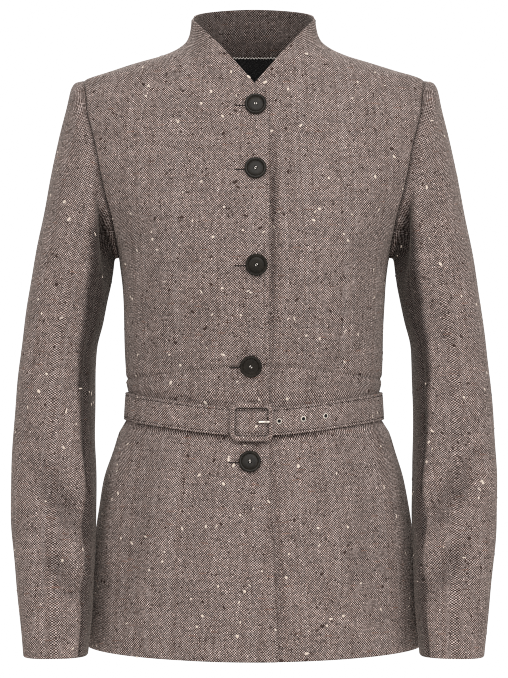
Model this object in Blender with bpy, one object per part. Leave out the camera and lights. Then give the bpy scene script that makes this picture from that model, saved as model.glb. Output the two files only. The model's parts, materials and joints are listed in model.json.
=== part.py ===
"""A belted tweed jacket, filled out and hollow as it is when worn.

Metres, +Z up. The front faces -Y and the wearer's right side is at -X. The origin lies between the
shoulders, at the height where the collar rises from them.
"""

import math
from collections import namedtuple

import bmesh
import bpy
import numpy as np

# Cloth
WALL = 0.0020
SEAM_GAP = 0.0003
FACING_WALL = 0.0012
LINING_WALL = 0.0010
LAYER_GAP = 0.0004

# Torso
CORE_TOP = -0.1500
UNDERARM = -0.2300
SHOULDER = -0.0390
COLLAR_SIDE = 0.0270
COLLAR_RISE = 0.0170
ARMHOLE_FRONT = 0.0640
ARMHOLE_BACK = 0.0580
BUST_FULLNESS = 0.0050
BUST_ANGLE = math.radians(36)
BUST_SPREAD = math.radians(22)
BUST_HEIGHT = -0.2200
BUST_REACH = 0.0550

# Front closure
OVERLAP = 0.0158
OVERLAP_FLARE = 0.0080
FLARE_START = -0.4650
NECK_CORNER = -0.0651
NECK_BOW = 0.0030
LAP_LIFT = WALL + 0.0011
LAP_FULL = 0.0340
LAP_FADE = 0.0800

# Waist seam and hem
WAIST_SIDE = -0.3607
WAIST_ARCH = 0.0150
HEM_SIDE = -0.6450
HEM_DROP = 0.0070

# Belt and buckle
BELT_WIDTH = 0.0290
BELT_WALL = 0.0024
BELT_CLEAR = 0.0005
BELT_SIDE = -0.3896
BELT_DROOP = 0.0144
BELT_START = math.radians(-3)
BELT_CLIMB_START = math.radians(-342)
BELT_CLIMB_END = math.radians(-354)
BELT_TIP = math.radians(-436)
BELT_TIP_LENGTH = 0.0180
BELT_TIP_SHARE = 0.35
BUCKLE_X = -0.0025
BUCKLE_WIDTH = 0.0465
BUCKLE_HEIGHT = 0.0405
BUCKLE_BAR = 0.0060
BUCKLE_WALL = 0.0034
BUCKLE_CORNER = 0.0060
# How much wider lengths grow from the torso out to the buckle
BUCKLE_SPREAD = 1.075
PRONG_RADIUS = 0.0011
PRONG_FROM = 0.0070
PRONG_TO = 0.0205
PRONG_BEND = 0.0040
PRONG_ROOT_SHARE = 0.8
PRONG_TIP_SHARE = 0.7

# Buttons
BUTTON_RADIUS = 0.0115
BUTTON_WALL = 0.0038
BUTTON_RIM = 0.0028
BUTTON_DISH = 0.0009
BUTTON_EDGE = 0.0009

# Collar facing and back lining, in rows and columns of the back bodice
FACING_ROWS = 2
LINING_ROWS = 4
LINING_INSET = 2
# How far across the back the armholes' curves are felt by its columns, as a share of its width
BACK_BOW_REACH = 0.70

# How finely the walls are divided, and how closely points are settled on the torso
FRONT_COLUMNS = 10
COLLAR_COLUMNS = 12
LOW_ROWS = 5
ARMHOLE_ROWS = 12
SKIRT_ROWS = 7
BELT_COLUMNS = 88
BUTTON_SIDES = 22
BAR_SIDES = 8
CORNER_BENDS = 4
SHARP_EDGE = math.radians(50)
FARTHEST = 4
HALVINGS = 48

Section = namedtuple("Section", "height half_width front back square")
TORSO = (
    Section(0.0500, 0.0660, 0.0560, 0.0550, 2.00),
    Section(0.0270, 0.0668, 0.0590, 0.0570, 2.00),
    Section(0.0120, 0.0690, 0.0630, 0.0590, 2.00),
    Section(0.0040, 0.0725, 0.0655, 0.0615, 2.00),
    Section(-0.0040, 0.0820, 0.0680, 0.0650, 2.00),
    Section(-0.0120, 0.0994, 0.0700, 0.0700, 2.00),
    Section(-0.0200, 0.1256, 0.0720, 0.0750, 2.00),
    Section(-0.0285, 0.1518, 0.0745, 0.0800, 2.00),
    Section(-0.0390, 0.1834, 0.0770, 0.0860, 2.00),
    Section(-0.0600, 0.1990, 0.0840, 0.0930, 2.20),
    Section(-0.0810, 0.2034, 0.0905, 0.0980, 2.40),
    Section(-0.1300, 0.1910, 0.1040, 0.1070, 2.50),
    Section(-0.1570, 0.1786, 0.1110, 0.1090, 2.50),
    Section(-0.1940, 0.1589, 0.1190, 0.1090, 2.45),
    Section(-0.2300, 0.1455, 0.1245, 0.1070, 2.35),
    Section(-0.2660, 0.1410, 0.1245, 0.1030, 2.30),
    Section(-0.3000, 0.1400, 0.1195, 0.0980, 2.25),
    Section(-0.3360, 0.1390, 0.1125, 0.0930, 2.20),
    Section(-0.3670, 0.1372, 0.1070, 0.0890, 2.15),
    Section(-0.3900, 0.1335, 0.1030, 0.0870, 2.15),
    Section(-0.4040, 0.1375, 0.1025, 0.0890, 2.15),
    Section(-0.4200, 0.1462, 0.1060, 0.0940, 2.15),
    Section(-0.4370, 0.1517, 0.1110, 0.0995, 2.15),
    Section(-0.4680, 0.1617, 0.1185, 0.1090, 2.15),
    Section(-0.4970, 0.1668, 0.1240, 0.1160, 2.15),
    Section(-0.5300, 0.1715, 0.1285, 0.1210, 2.15),
    Section(-0.5800, 0.1770, 0.1325, 0.1240, 2.15),
    Section(-0.6600, 0.1835, 0.1370, 0.1270, 2.15),
)

Ring = namedtuple("Ring", "outer_x outer_z inner_x inner_z centre_y half_depth")
SLEEVE = (
    Ring(0.1834, -0.0390, 0.1455, -0.2300, -0.0030, 0.0610),
    Ring(0.1925, -0.0412, 0.1482, -0.2303, -0.0030, 0.0625),
    Ring(0.1968, -0.0470, 0.1500, -0.2312, -0.0030, 0.0630),
    Ring(0.2018, -0.0700, 0.1508, -0.2332, -0.0030, 0.0635),
    Ring(0.2110, -0.1050, 0.1515, -0.2370, -0.0030, 0.0640),
    Ring(0.2195, -0.1460, 0.1522, -0.2425, -0.0030, 0.0640),
    Ring(0.2280, -0.1900, 0.1532, -0.2500, -0.0030, 0.0630),
    Ring(0.2355, -0.2300, 0.1548, -0.2605, -0.0030, 0.0615),
    Ring(0.2413, -0.2660, 0.1580, -0.2765, -0.0030, 0.0600),
    Ring(0.2463, -0.3000, 0.1625, -0.3000, -0.0040, 0.0580),
    Ring(0.2505, -0.3320, 0.1690, -0.3290, -0.0070, 0.0555),
    Ring(0.2545, -0.3700, 0.1703, -0.3640, -0.0120, 0.0530),
    Ring(0.2575, -0.4200, 0.1708, -0.4140, -0.0210, 0.0510),
    Ring(0.2590, -0.4650, 0.1690, -0.4600, -0.0310, 0.0490),
    Ring(0.2580, -0.5100, 0.1680, -0.5060, -0.0430, 0.0475),
    Ring(0.2535, -0.5550, 0.1688, -0.5520, -0.0550, 0.0460),
    Ring(0.2480, -0.6020, 0.1705, -0.6000, -0.0660, 0.0440),
    Ring(0.2425, -0.6510, 0.1750, -0.6500, -0.0750, 0.0410),
)
SLEEVE_BLEND_RINGS = 5
# The two sleeve seams, counted in ring points from the shoulder round by the front
FRONT_SEAM_POINT = 9
BACK_SEAM_POINT = 17

Button = namedtuple("Button", "x height")
BUTTONS = (
    Button(0.0017, -0.0723),
    Button(0.0016, -0.1404),
    Button(0.0027, -0.2406),
    Button(-0.0032, -0.3455),
    Button(-0.0042, -0.4461),
)

Finish = namedtuple("Finish", "colour roughness metallic")
TWEED = Finish((0.235, 0.178, 0.158), 0.92, 0.0)
LINING = Finish((0.011, 0.010, 0.010), 0.45, 0.0)
HORN = Finish((0.026, 0.021, 0.018), 0.38, 0.0)
NICKEL = Finish((0.72, 0.66, 0.58), 0.30, 1.0)

SIDE = math.pi / 2
RIGHT, LEFT = -1, 1


# Smooth curves through the tables


def curve(column):
    """A smooth function of height through one column of the torso table."""
    rows = TORSO[::-1]
    heights = np.array([row.height for row in rows])
    values = np.array([getattr(row, column) for row in rows])
    spans = np.diff(heights)
    slope = np.diff(values) / spans
    product = slope[:-1] * slope[1:]
    total = np.where(product > 0, slope[:-1] + slope[1:], 1.0)
    inner = np.where(product > 0, 2 * product / total, 0.0)
    tangent = np.concatenate([slope[:1], inner, slope[-1:]])

    def at(height):
        height = np.clip(height, heights[0], heights[-1])
        i = np.clip(np.searchsorted(heights, height) - 1, 0, len(spans) - 1)
        t = (height - heights[i]) / spans[i]
        rise = t * t * (3 - 2 * t)
        leave = t * (1 - t) ** 2 * spans[i] * tangent[i]
        arrive = t * t * (t - 1) * spans[i] * tangent[i + 1]
        return values[i] * (1 - rise) + values[i + 1] * rise + leave + arrive

    return at


half_width = curve("half_width")
front_depth = curve("front")
back_depth = curve("back")
square = curve("square")


def smoothstep(start, end, value):
    t = np.clip((value - start) / (end - start), 0, 1)
    return t * t * (3 - 2 * t)


def unit(vectors):
    return vectors / np.linalg.norm(vectors, axis=-1, keepdims=True)


# The torso as a surface of angle and height: 0 is the centre front, +90 degrees the wearer's left


def torso(angle, height):
    angle, height = np.broadcast_arrays(np.asarray(angle, float), np.asarray(height, float))
    power = square(height)
    depth = np.where(np.cos(angle) > 0, front_depth(height), back_depth(height))
    shares = np.abs(np.sin(angle) / half_width(height)) ** power + np.abs(np.cos(angle) / depth) ** power
    reach = shares ** (-1 / power)
    off_side = (np.abs(angle) - BUST_ANGLE) / BUST_SPREAD
    off_height = (height - BUST_HEIGHT) / BUST_REACH
    reach = reach + BUST_FULLNESS * np.exp(-off_side**2 - off_height**2)
    return np.stack([reach * np.sin(angle), -reach * np.cos(angle), height], axis=-1)


def torso_normal(angle, height, step=1e-4):
    angle, height = np.broadcast_arrays(np.asarray(angle, float), np.asarray(height, float))
    across = torso(angle + step, height) - torso(angle - step, height)
    up = torso(angle, height + step) - torso(angle, height - step)
    return unit(np.cross(across, up))


def angle_at_x(x, height):
    """The angle on the front where the torso is x from the centre line."""
    power = square(height)
    left = np.clip(1 - np.abs(x / half_width(height)) ** power, 0, 1)
    return np.arctan2(x, front_depth(height) * left ** (1 / power))


def angle_at_depth(y, height):
    """The angle on the wearer's left where the torso is y behind the side line."""
    power = square(height)
    depth = np.where(y < 0, front_depth(height), back_depth(height))
    left = np.clip(1 - np.abs(y / depth) ** power, 0, 1)
    return np.arctan2(half_width(height) * left ** (1 / power), -y)


def waist_seam(angle):
    return WAIST_SIDE + WAIST_ARCH * np.maximum(np.cos(angle), 0) ** 2


def hem(angle):
    return HEM_SIDE - HEM_DROP * np.maximum(np.cos(angle), 0)


def belt_line(angle):
    return BELT_SIDE - BELT_DROOP * np.maximum(np.cos(angle), 0) ** 2


def front_edge_x(height):
    """How far a front reaches past the centre line."""
    return OVERLAP + OVERLAP_FLARE * smoothstep(FLARE_START, HEM_SIDE, height)


def armhole(depth):
    """Angle and height up one edge of the armhole, from the underarm to the shoulder."""
    turn = np.linspace(math.pi, 0, ARMHOLE_ROWS + 1)
    height = (UNDERARM + SHOULDER) / 2 + (SHOULDER - UNDERARM) / 2 * np.cos(turn)
    return np.stack([angle_at_depth(depth * np.sin(turn), height), height], axis=-1)


def coons(bottom, top, left, right, fade):
    """A grid inside four border curves, each an array of points, or of (angle, height) rows. Each
    column has its own share, in fade, of the left border's bow, and the same of the right one's."""
    v = np.linspace(0, 1, len(left))[:, None, None]
    along = (1 - v) * bottom[None] + v * top[None]
    left_bow = left[:, None] - along[:, :1]
    right_bow = right[:, None] - along[:, -1:]
    return along + fade[:, None] * left_bow + fade[::-1, None] * right_bow


def pair(angle, height):
    return np.stack(np.broadcast_arrays(angle, height), axis=-1)


def settled(points):
    """Angle and height of points carried straight out from the torso's core on to its surface."""
    core = points * 0
    core[..., 2] = np.minimum(points[..., 2], CORE_TOP)
    near, far = np.zeros(points.shape[:-1]), np.full(points.shape[:-1], FARTHEST)
    for _ in range(HALVINGS):
        share = (near + far) / 2
        x, y, z = np.moveaxis(core + (points - core) * share[..., None], -1, 0)
        angle = np.mod(np.arctan2(x, -y), 4 * SIDE)
        outside = np.hypot(x, y) > np.linalg.norm(torso(angle, z)[..., :2], axis=-1)
        near, far = np.where(outside, near, share), np.where(outside, share, far)
    return pair(angle, z)


# Panels of the torso, each an array of rows of (angle, height)


def front_bodice_patch():
    """The wearer's left front, from the front edge to the side seam, and up to the shoulder seam."""
    edge = angle_at_x(-OVERLAP, WAIST_SIDE + WAIST_ARCH)
    waist = np.linspace(edge, SIDE, FRONT_COLUMNS + 1)
    bottom = pair(waist, waist_seam(waist))
    shoulder = np.linspace(COLLAR_SIDE, SHOULDER, FRONT_COLUMNS + 1)
    top = pair(SIDE, shoulder)
    side = pair(SIDE, np.linspace(WAIST_SIDE, UNDERARM, LOW_ROWS + 1))
    right = np.concatenate([side[:-1], armhole(-ARMHOLE_FRONT)])
    edge_rows = LOW_ROWS + ARMHOLE_ROWS // 2
    edge_heights = np.linspace(bottom[0, 1], NECK_CORNER, edge_rows + 1)
    front_edge = pair(angle_at_x(-OVERLAP, edge_heights), edge_heights)
    rise = np.sin(np.linspace(0, 1, ARMHOLE_ROWS // 2 + 1) * SIDE)
    neck_x = -OVERLAP + (half_width(COLLAR_SIDE) + OVERLAP) * rise
    neck_z = NECK_CORNER + (COLLAR_SIDE - NECK_CORNER) * rise + NECK_BOW * np.sin(math.pi * rise)
    neck_edge = pair(angle_at_x(neck_x, neck_z), neck_z)
    left = np.concatenate([front_edge[:-1], neck_edge])
    left[0] = bottom[0]
    left[-1] = top[0]
    return coons(bottom, top, left, right, np.linspace(1, 0, FRONT_COLUMNS + 1))


def collar_top(angle):
    return COLLAR_SIDE + COLLAR_RISE * np.sin(angle - SIDE)


def back_bodice_patch():
    """The whole back, from the wearer's left side seam round to the right one."""
    columns = 2 * FRONT_COLUMNS + COLLAR_COLUMNS
    waist = np.linspace(SIDE, 3 * SIDE, columns + 1)
    bottom = pair(waist, waist_seam(waist))
    shoulder = np.linspace(SHOULDER, COLLAR_SIDE, FRONT_COLUMNS + 1)
    collar = np.linspace(SIDE, 3 * SIDE, COLLAR_COLUMNS + 1)
    top = np.concatenate(
        [
            pair(SIDE, shoulder[:-1]),
            pair(collar, collar_top(collar)),
            pair(3 * SIDE, shoulder[::-1][1:]),
        ]
    )
    side = pair(SIDE, np.linspace(WAIST_SIDE, UNDERARM, LOW_ROWS + 1))
    left = np.concatenate([side[:-1], armhole(ARMHOLE_BACK)])
    right = pair(4 * SIDE - left[:, 0], left[:, 1])
    borders = [torso(*line.T) for line in (bottom, top, left, right)]
    fade = np.maximum(1 - (np.linspace(0, 1, columns + 1) / BACK_BOW_REACH) ** 2, 0) ** 2
    return settled(coons(*borders, fade))


def skirt_heights(angle):
    """Rows of heights down a skirt: the waist seam, the belt's edges and middle, then to the hem."""
    belt = belt_line(angle)
    foot = belt - BELT_WIDTH / 2
    rows = [waist_seam(angle), belt + BELT_WIDTH / 2, belt]
    for step in np.linspace(0, 1, SKIRT_ROWS + 1):
        rows.append(foot + (hem(angle) - foot) * step)
    return np.array(rows)[::-1]


def front_skirt_patch():
    """The wearer's left front skirt, from the front edge to the side seam."""
    edge = angle_at_x(-OVERLAP, WAIST_SIDE + WAIST_ARCH)
    heights = skirt_heights(np.linspace(edge, SIDE, FRONT_COLUMNS + 1))
    edges = angle_at_x(-front_edge_x(heights[:, :1]), heights[:, :1])
    share = np.linspace(0, 1, FRONT_COLUMNS + 1)[None]
    return pair(edges + (SIDE - edges) * share, heights)


def back_skirt_patch():
    angles = np.linspace(SIDE, 3 * SIDE, 2 * FRONT_COLUMNS + COLLAR_COLUMNS + 1)
    return pair(angles[None], skirt_heights(angles))


# From patches to closed cloth walls


def lap_lift(x):
    """How far the right front stands off to lie over the left one, by distance from the front edge."""
    return LAP_LIFT * (1 - smoothstep(LAP_FULL, LAP_FADE, x))


def on_torso(patch, lapped=False):
    """Points and normals of a patch. A lapped front is lifted clear of the front under it."""
    points = torso(patch[..., 0], patch[..., 1])
    normals = torso_normal(patch[..., 0], patch[..., 1])
    if lapped:
        points = points + normals * lap_lift(points[..., :1])
    return points, normals


def mirrored(vectors, side):
    return vectors * np.array([side, 1, 1])


def pulled_in(points, normals):
    """The grid with each border drawn half a seam gap square to itself, into its own piece."""
    points = points.copy()
    for grid, facing in ((points, normals), (points.swapaxes(0, 1), normals.swapaxes(0, 1))):
        for line, inside in ((0, 1), (-1, -2)):
            square_on = np.cross(facing[line], np.gradient(grid[line], axis=0))
            inward = np.sign(np.sum(square_on * (grid[inside] - grid[line])))
            grid[line] += unit(square_on) * inward * SEAM_GAP / 2
    return points


def shorter_cuts(points):
    """Whether the shorter way to cut each cell of a grid runs from its first corner to the last."""
    first = np.linalg.norm(points[1:, 1:] - points[:-1, :-1], axis=-1)
    return first <= np.linalg.norm(points[1:, :-1] - points[:-1, 1:], axis=-1)


def wall_mesh(name, outer, inner, cuts=None):
    """A closed wall between two grids of points, whose cells are cut in two the same way."""
    cuts = shorter_cuts(outer) if cuts is None else cuts
    rows, columns = outer.shape[:2]
    mesh = bmesh.new()
    sheets = [[[mesh.verts.new(point) for point in row] for row in grid] for grid in (outer, inner)]
    for sheet in sheets:
        for i in range(rows - 1):
            for j in range(columns - 1):
                corners = [sheet[i][j], sheet[i][j + 1], sheet[i + 1][j + 1], sheet[i + 1][j]]
                if not cuts[i, j]:
                    corners = corners[1:] + corners[:1]
                mesh.faces.new(corners[:3])
                mesh.faces.new(corners[2:] + corners[:1])
    border = [(0, j) for j in range(columns - 1)]
    border += [(i, columns - 1) for i in range(rows - 1)]
    border += [(rows - 1, j) for j in range(columns - 1, 0, -1)]
    border += [(i, 0) for i in range(rows - 1, 0, -1)]
    for (i, j), (k, m) in zip(border, border[1:] + border[:1]):
        mesh.faces.new((sheets[0][i][j], sheets[0][k][m], sheets[1][k][m], sheets[1][i][j]))
    return finished(name, mesh)


def finished(name, mesh):
    """An object from a closed bmesh, with its faces turned out and shaded smooth up to sharp edges."""
    bmesh.ops.recalc_face_normals(mesh, faces=mesh.faces)
    bmesh.ops.triangulate(mesh, faces=mesh.faces, quad_method="SHORT_EDGE")
    data = bpy.data.meshes.new(name)
    mesh.to_mesh(data)
    mesh.free()
    data.shade_smooth()
    data.set_sharp_from_angle(angle=SHARP_EDGE)
    obj = bpy.data.objects.new(name, data)
    bpy.context.scene.collection.objects.link(obj)
    return obj


def cloth(name, points, normals, thickness=WALL, cuts=None):
    outer = pulled_in(points, normals)
    return wall_mesh(name, outer, outer - normals * thickness, cuts)


def finish(obj, look):
    """Gives the object a material of its own."""
    material = bpy.data.materials.new(obj.name)
    material.use_nodes = True
    shader = material.node_tree.nodes["Principled BSDF"]
    shader.inputs["Base Color"].default_value = (*look.colour, 1)
    shader.inputs["Roughness"].default_value = look.roughness
    shader.inputs["Metallic"].default_value = look.metallic
    obj.data.materials.append(material)


# The body's panels


def make_fronts():
    for word, side in (("right", RIGHT), ("left", LEFT)):
        for kind, patch in (("bodice", front_bodice_patch()), ("skirt", front_skirt_patch())):
            points, normals = on_torso(patch, lapped=side == RIGHT)
            obj = cloth(f"front_{kind}_{word}", mirrored(points, side), mirrored(normals, side))
            finish(obj, TWEED)


def make_back():
    """Two halves, sewn together down the centre of the back."""
    for kind, patch in (("bodice", back_bodice_patch()), ("skirt", back_skirt_patch())):
        points, normals = on_torso(patch[:, : patch.shape[1] // 2 + 1])
        for word, side in (("right", RIGHT), ("left", LEFT)):
            finish(cloth(f"back_{kind}_{word}", mirrored(points, side), mirrored(normals, side)), TWEED)


def make_neck_inside():
    """The collar's facing at the back of the neck, and the lining that starts under it. Both lie on
    the back's own points, moved in."""
    points, normals = on_torso(back_bodice_patch())
    cuts = shorter_cuts(points)
    inner = points - normals * (WALL + LAYER_GAP)
    foot = len(points) - 1 - FACING_ROWS
    collar = slice(FRONT_COLUMNS, FRONT_COLUMNS + COLLAR_COLUMNS + 1)
    yoke = slice(collar.start + LINING_INSET, collar.stop - LINING_INSET)
    layers = (
        ("collar_facing", slice(foot, None), collar, FACING_WALL, TWEED),
        ("back_lining", slice(foot - LINING_ROWS, foot + 1), yoke, LINING_WALL, LINING),
    )
    for name, rows, columns, thickness, look in layers:
        part = (rows, columns)
        finish(cloth(name, inner[part], normals[part], thickness, cuts[part]), look)


# Sleeves


def sleeve_rings():
    """Points and normals of the left sleeve: rings from the armhole down, each from the shoulder
    round by the front, the underarm and the back."""
    front = armhole(-ARMHOLE_FRONT)[::-1]
    back = armhole(ARMHOLE_BACK)[1:]
    loop_patch = np.concatenate([front, back])
    loop, loop_normals = on_torso(loop_patch)
    turn = np.linspace(0, 2 * math.pi, len(loop))
    across, forward = np.cos(turn), np.sin(turn)
    rings = []
    for ring in SLEEVE:
        x = (ring.outer_x + ring.inner_x) / 2 + (ring.outer_x - ring.inner_x) / 2 * across
        z = (ring.outer_z + ring.inner_z) / 2 + (ring.outer_z - ring.inner_z) / 2 * across
        rings.append(np.stack([x, ring.centre_y - ring.half_depth * forward, z], axis=-1))
    points = np.array(rings)
    fade = 1 - smoothstep(0, SLEEVE_BLEND_RINGS, np.arange(len(SLEEVE)))
    points = points + fade[:, None, None] * (loop - points[0])
    around = np.roll(points[:, :-1], -1, axis=1) - np.roll(points[:, :-1], 1, axis=1)
    around = np.concatenate([around, around[:, :1]], axis=1)
    normals = unit(np.cross(around, np.gradient(points, axis=0)))
    along_seam = np.clip(np.sum(normals[0] * loop_normals, axis=-1, keepdims=True), 0, 1)
    normals[0] = unit(normals[0] * (1 - along_seam) + loop_normals * along_seam)
    return points, normals


def make_sleeves():
    points, normals = sleeve_rings()
    last = points.shape[1] - 1
    under = list(range(FRONT_SEAM_POINT, BACK_SEAM_POINT + 1))
    upper = list(range(BACK_SEAM_POINT, last)) + list(range(FRONT_SEAM_POINT + 1))
    for word, side in (("right", RIGHT), ("left", LEFT)):
        for kind, columns in (("upper", upper), ("under", under)):
            grid = mirrored(points[:, columns], side)
            finish(cloth(f"{kind}_sleeve_{word}", grid, mirrored(normals[:, columns], side)), TWEED)


# Belt, buckle and prong


def belt_place(angle, across, out):
    """A point on the belt's flat face: across is metres above its middle, out is off the cloth."""
    middle = belt_line(angle)
    upper = torso(angle, middle + BELT_WIDTH / 2)
    lower = torso(angle, middle - BELT_WIDTH / 2)
    share = np.asarray(across / BELT_WIDTH + 0.5)[..., None]
    facing = torso_normal(angle, middle) * np.array([1, 1, 0])
    base = lower + (upper - lower) * share
    lift = lap_lift(np.abs(base[..., :1])) + BELT_CLEAR
    return base + unit(facing) * (lift + np.asarray(out)[..., None])


def make_belt():
    """One strap: from the buckle round by the wearer's right and the back, through the buckle again,
    and on over its own first stretch to the tip."""
    turn = np.linspace(BELT_START, BELT_TIP, BELT_COLUMNS + 1)
    layer = (BELT_WALL + LAYER_GAP) * smoothstep(BELT_CLIMB_START, BELT_CLIMB_END, turn)
    angle = np.mod(turn + math.pi, 2 * math.pi) - math.pi
    middle = belt_place(angle, np.zeros_like(turn), layer)
    steps = np.linalg.norm(np.diff(middle, axis=0), axis=-1)
    left = np.concatenate([np.cumsum(steps[::-1])[::-1], [0]])
    width = BELT_WIDTH * (BELT_TIP_SHARE + (1 - BELT_TIP_SHARE) * np.minimum(left / BELT_TIP_LENGTH, 1))
    inner = np.array([belt_place(angle, share * width, layer) for share in (-0.5, 0.0, 0.5)])
    outer = np.array([belt_place(angle, share * width, layer + BELT_WALL) for share in (-0.5, 0.0, 0.5)])
    finish(wall_mesh("belt_strap", outer, inner), TWEED)


def buckle_place(x, across, out):
    """A point over the doubled belt, x from the buckle's middle."""
    angle = angle_at_x((BUCKLE_X + x) / BUCKLE_SPREAD, belt_line(0.0))
    return belt_place(angle, across, 2 * (BELT_WALL + LAYER_GAP) + out)


def make_buckle():
    """A square frame with rounded corners and a rounded section."""
    half_x, half_z = (BUCKLE_WIDTH - BUCKLE_BAR) / 2, (BUCKLE_HEIGHT - BUCKLE_BAR) / 2
    centres = []
    for corner, (sign_x, sign_z) in enumerate(((1, 1), (-1, 1), (-1, -1), (1, -1))):
        for bend in np.linspace(corner, corner + 1, CORNER_BENDS) * SIDE:
            x = sign_x * (half_x - BUCKLE_CORNER) + BUCKLE_CORNER * math.cos(bend)
            z = sign_z * (half_z - BUCKLE_CORNER) + BUCKLE_CORNER * math.sin(bend)
            centres.append((x, z, math.cos(bend), math.sin(bend)))
    around = (np.arange(BAR_SIDES) + 0.5) * 2 * math.pi / BAR_SIDES
    flat_reach = math.cos(math.pi / BAR_SIDES)
    mesh = bmesh.new()
    rings = []
    for x, z, away_x, away_z in centres:
        wide = BUCKLE_BAR / 2 * np.cos(around) / flat_reach
        out = BUCKLE_WALL / 2 * (1 + np.sin(around) / flat_reach)
        points = buckle_place(x + away_x * wide, z + away_z * wide, out)
        rings.append([mesh.verts.new(point) for point in points])
    for ring, after in zip(rings, rings[1:] + rings[:1]):
        for k in range(len(ring)):
            after_k = (k + 1) % len(ring)
            mesh.faces.new((ring[k], ring[after_k], after[after_k], after[k]))
    finish(finished("buckle_frame", mesh), TWEED)


def make_prong():
    """The pin, from the strap up on to the buckle's free bar."""
    low = PRONG_RADIUS + LAYER_GAP
    high = BUCKLE_WALL + SEAM_GAP + PRONG_RADIUS
    bar_edge = BUCKLE_WIDTH / 2 - BUCKLE_BAR
    stations = (
        (PRONG_FROM, low, PRONG_ROOT_SHARE),
        (bar_edge - PRONG_BEND, low, 1),
        (bar_edge, high, 1),
        (PRONG_TO, high, PRONG_TIP_SHARE),
    )
    around = np.arange(BAR_SIDES) * 2 * math.pi / BAR_SIDES
    mesh = bmesh.new()
    rings = []
    for x, out, share in stations:
        radius = PRONG_RADIUS * share
        points = buckle_place(np.full(BAR_SIDES, x), radius * np.cos(around), out + radius * np.sin(around))
        rings.append([mesh.verts.new(point) for point in points])
    for ring, after in zip(rings, rings[1:]):
        for k in range(BAR_SIDES):
            after_k = (k + 1) % BAR_SIDES
            mesh.faces.new((ring[k], ring[after_k], after[after_k], after[k]))
    mesh.faces.new(rings[0])
    mesh.faces.new(rings[-1])
    finish(finished("buckle_prong", mesh), NICKEL)


# Buttons


def make_buttons():
    """Turned buttons with a raised rim, each square to the cloth it is sewn on."""
    inside = BUTTON_RADIUS - BUTTON_RIM
    profile = (
        (BUTTON_RADIUS - BUTTON_EDGE, 0),
        (BUTTON_RADIUS, BUTTON_EDGE),
        (BUTTON_RADIUS, BUTTON_WALL - BUTTON_EDGE),
        (BUTTON_RADIUS - BUTTON_EDGE, BUTTON_WALL),
        (inside, BUTTON_WALL),
        (inside - BUTTON_EDGE, BUTTON_WALL - BUTTON_DISH),
    )
    turn = np.linspace(0, 2 * math.pi, BUTTON_SIDES + 1)[:-1]
    for number, button in enumerate(BUTTONS, 1):
        angle = angle_at_x(button.x, button.height)
        normal = torso_normal(angle, button.height)
        seat = torso(angle, button.height) + normal * (LAP_LIFT + LAYER_GAP)
        level = unit(np.cross([0, 0, 1], normal))
        up = np.cross(normal, level)
        mesh = bmesh.new()
        rings = []
        for radius, out in profile:
            points = [seat + normal * out + radius * (level * math.cos(t) + up * math.sin(t)) for t in turn]
            rings.append([mesh.verts.new(point) for point in points])
        for ring, after in zip(rings, rings[1:]):
            for k in range(BUTTON_SIDES):
                after_k = (k + 1) % BUTTON_SIDES
                mesh.faces.new((ring[k], ring[after_k], after[after_k], after[k]))
        mesh.faces.new(rings[0])
        mesh.faces.new(rings[-1])
        finish(finished(f"button_{number}", mesh), HORN)


for old in list(bpy.data.objects):
    bpy.data.objects.remove(old)
make_fronts()
make_back()
make_neck_inside()
make_sleeves()
make_belt()
make_buckle()
make_prong()
make_buttons()
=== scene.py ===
# %% [markdown]
# # A belted tweed jacket
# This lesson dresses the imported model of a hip-length tweed jacket. It stands filled out as when it
# is worn, and nobody is in it. The frame gives plain cloth solids in metres, with the front facing
# -Y and +Z up, and each of them is replaced here by cloth that shows its weave, seams and creases.

# %% Load the frame
import json
import math
from collections import namedtuple

import bmesh
import bpy
import numpy as np
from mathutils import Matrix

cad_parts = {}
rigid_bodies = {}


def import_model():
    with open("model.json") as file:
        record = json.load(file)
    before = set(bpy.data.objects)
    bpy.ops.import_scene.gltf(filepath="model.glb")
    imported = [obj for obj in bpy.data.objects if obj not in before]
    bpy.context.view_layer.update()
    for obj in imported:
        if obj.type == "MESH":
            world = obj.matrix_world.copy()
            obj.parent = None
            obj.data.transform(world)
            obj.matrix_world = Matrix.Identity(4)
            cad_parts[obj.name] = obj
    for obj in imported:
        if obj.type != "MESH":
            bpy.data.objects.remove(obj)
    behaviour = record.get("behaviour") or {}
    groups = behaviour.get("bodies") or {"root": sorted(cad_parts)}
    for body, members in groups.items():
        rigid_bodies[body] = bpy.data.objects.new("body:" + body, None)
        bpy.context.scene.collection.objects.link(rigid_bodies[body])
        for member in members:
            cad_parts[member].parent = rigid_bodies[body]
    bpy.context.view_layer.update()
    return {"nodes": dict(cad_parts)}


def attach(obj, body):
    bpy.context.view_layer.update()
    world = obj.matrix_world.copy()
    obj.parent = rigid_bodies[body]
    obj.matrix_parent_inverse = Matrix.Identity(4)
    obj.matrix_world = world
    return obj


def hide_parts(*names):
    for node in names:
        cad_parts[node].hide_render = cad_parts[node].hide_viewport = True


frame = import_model()
scene = bpy.context.scene
print("nodes in the frame:", len(frame["nodes"]))

# %% [markdown]
# ## The camera
# The photograph looks straight at the front, from a distance taken as 3.2 m, so the camera stands level
# with the middle of the picture. The lens follows from how many metres one picture column covers in
# the plane of the side seams, which keeps the jacket at its real size.

# %% Camera
CAMERA_DISTANCE, CAMERA_HEIGHT = 3.2, -0.3175
PIXEL, IMAGE_ROWS = 0.00108, 678

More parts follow.
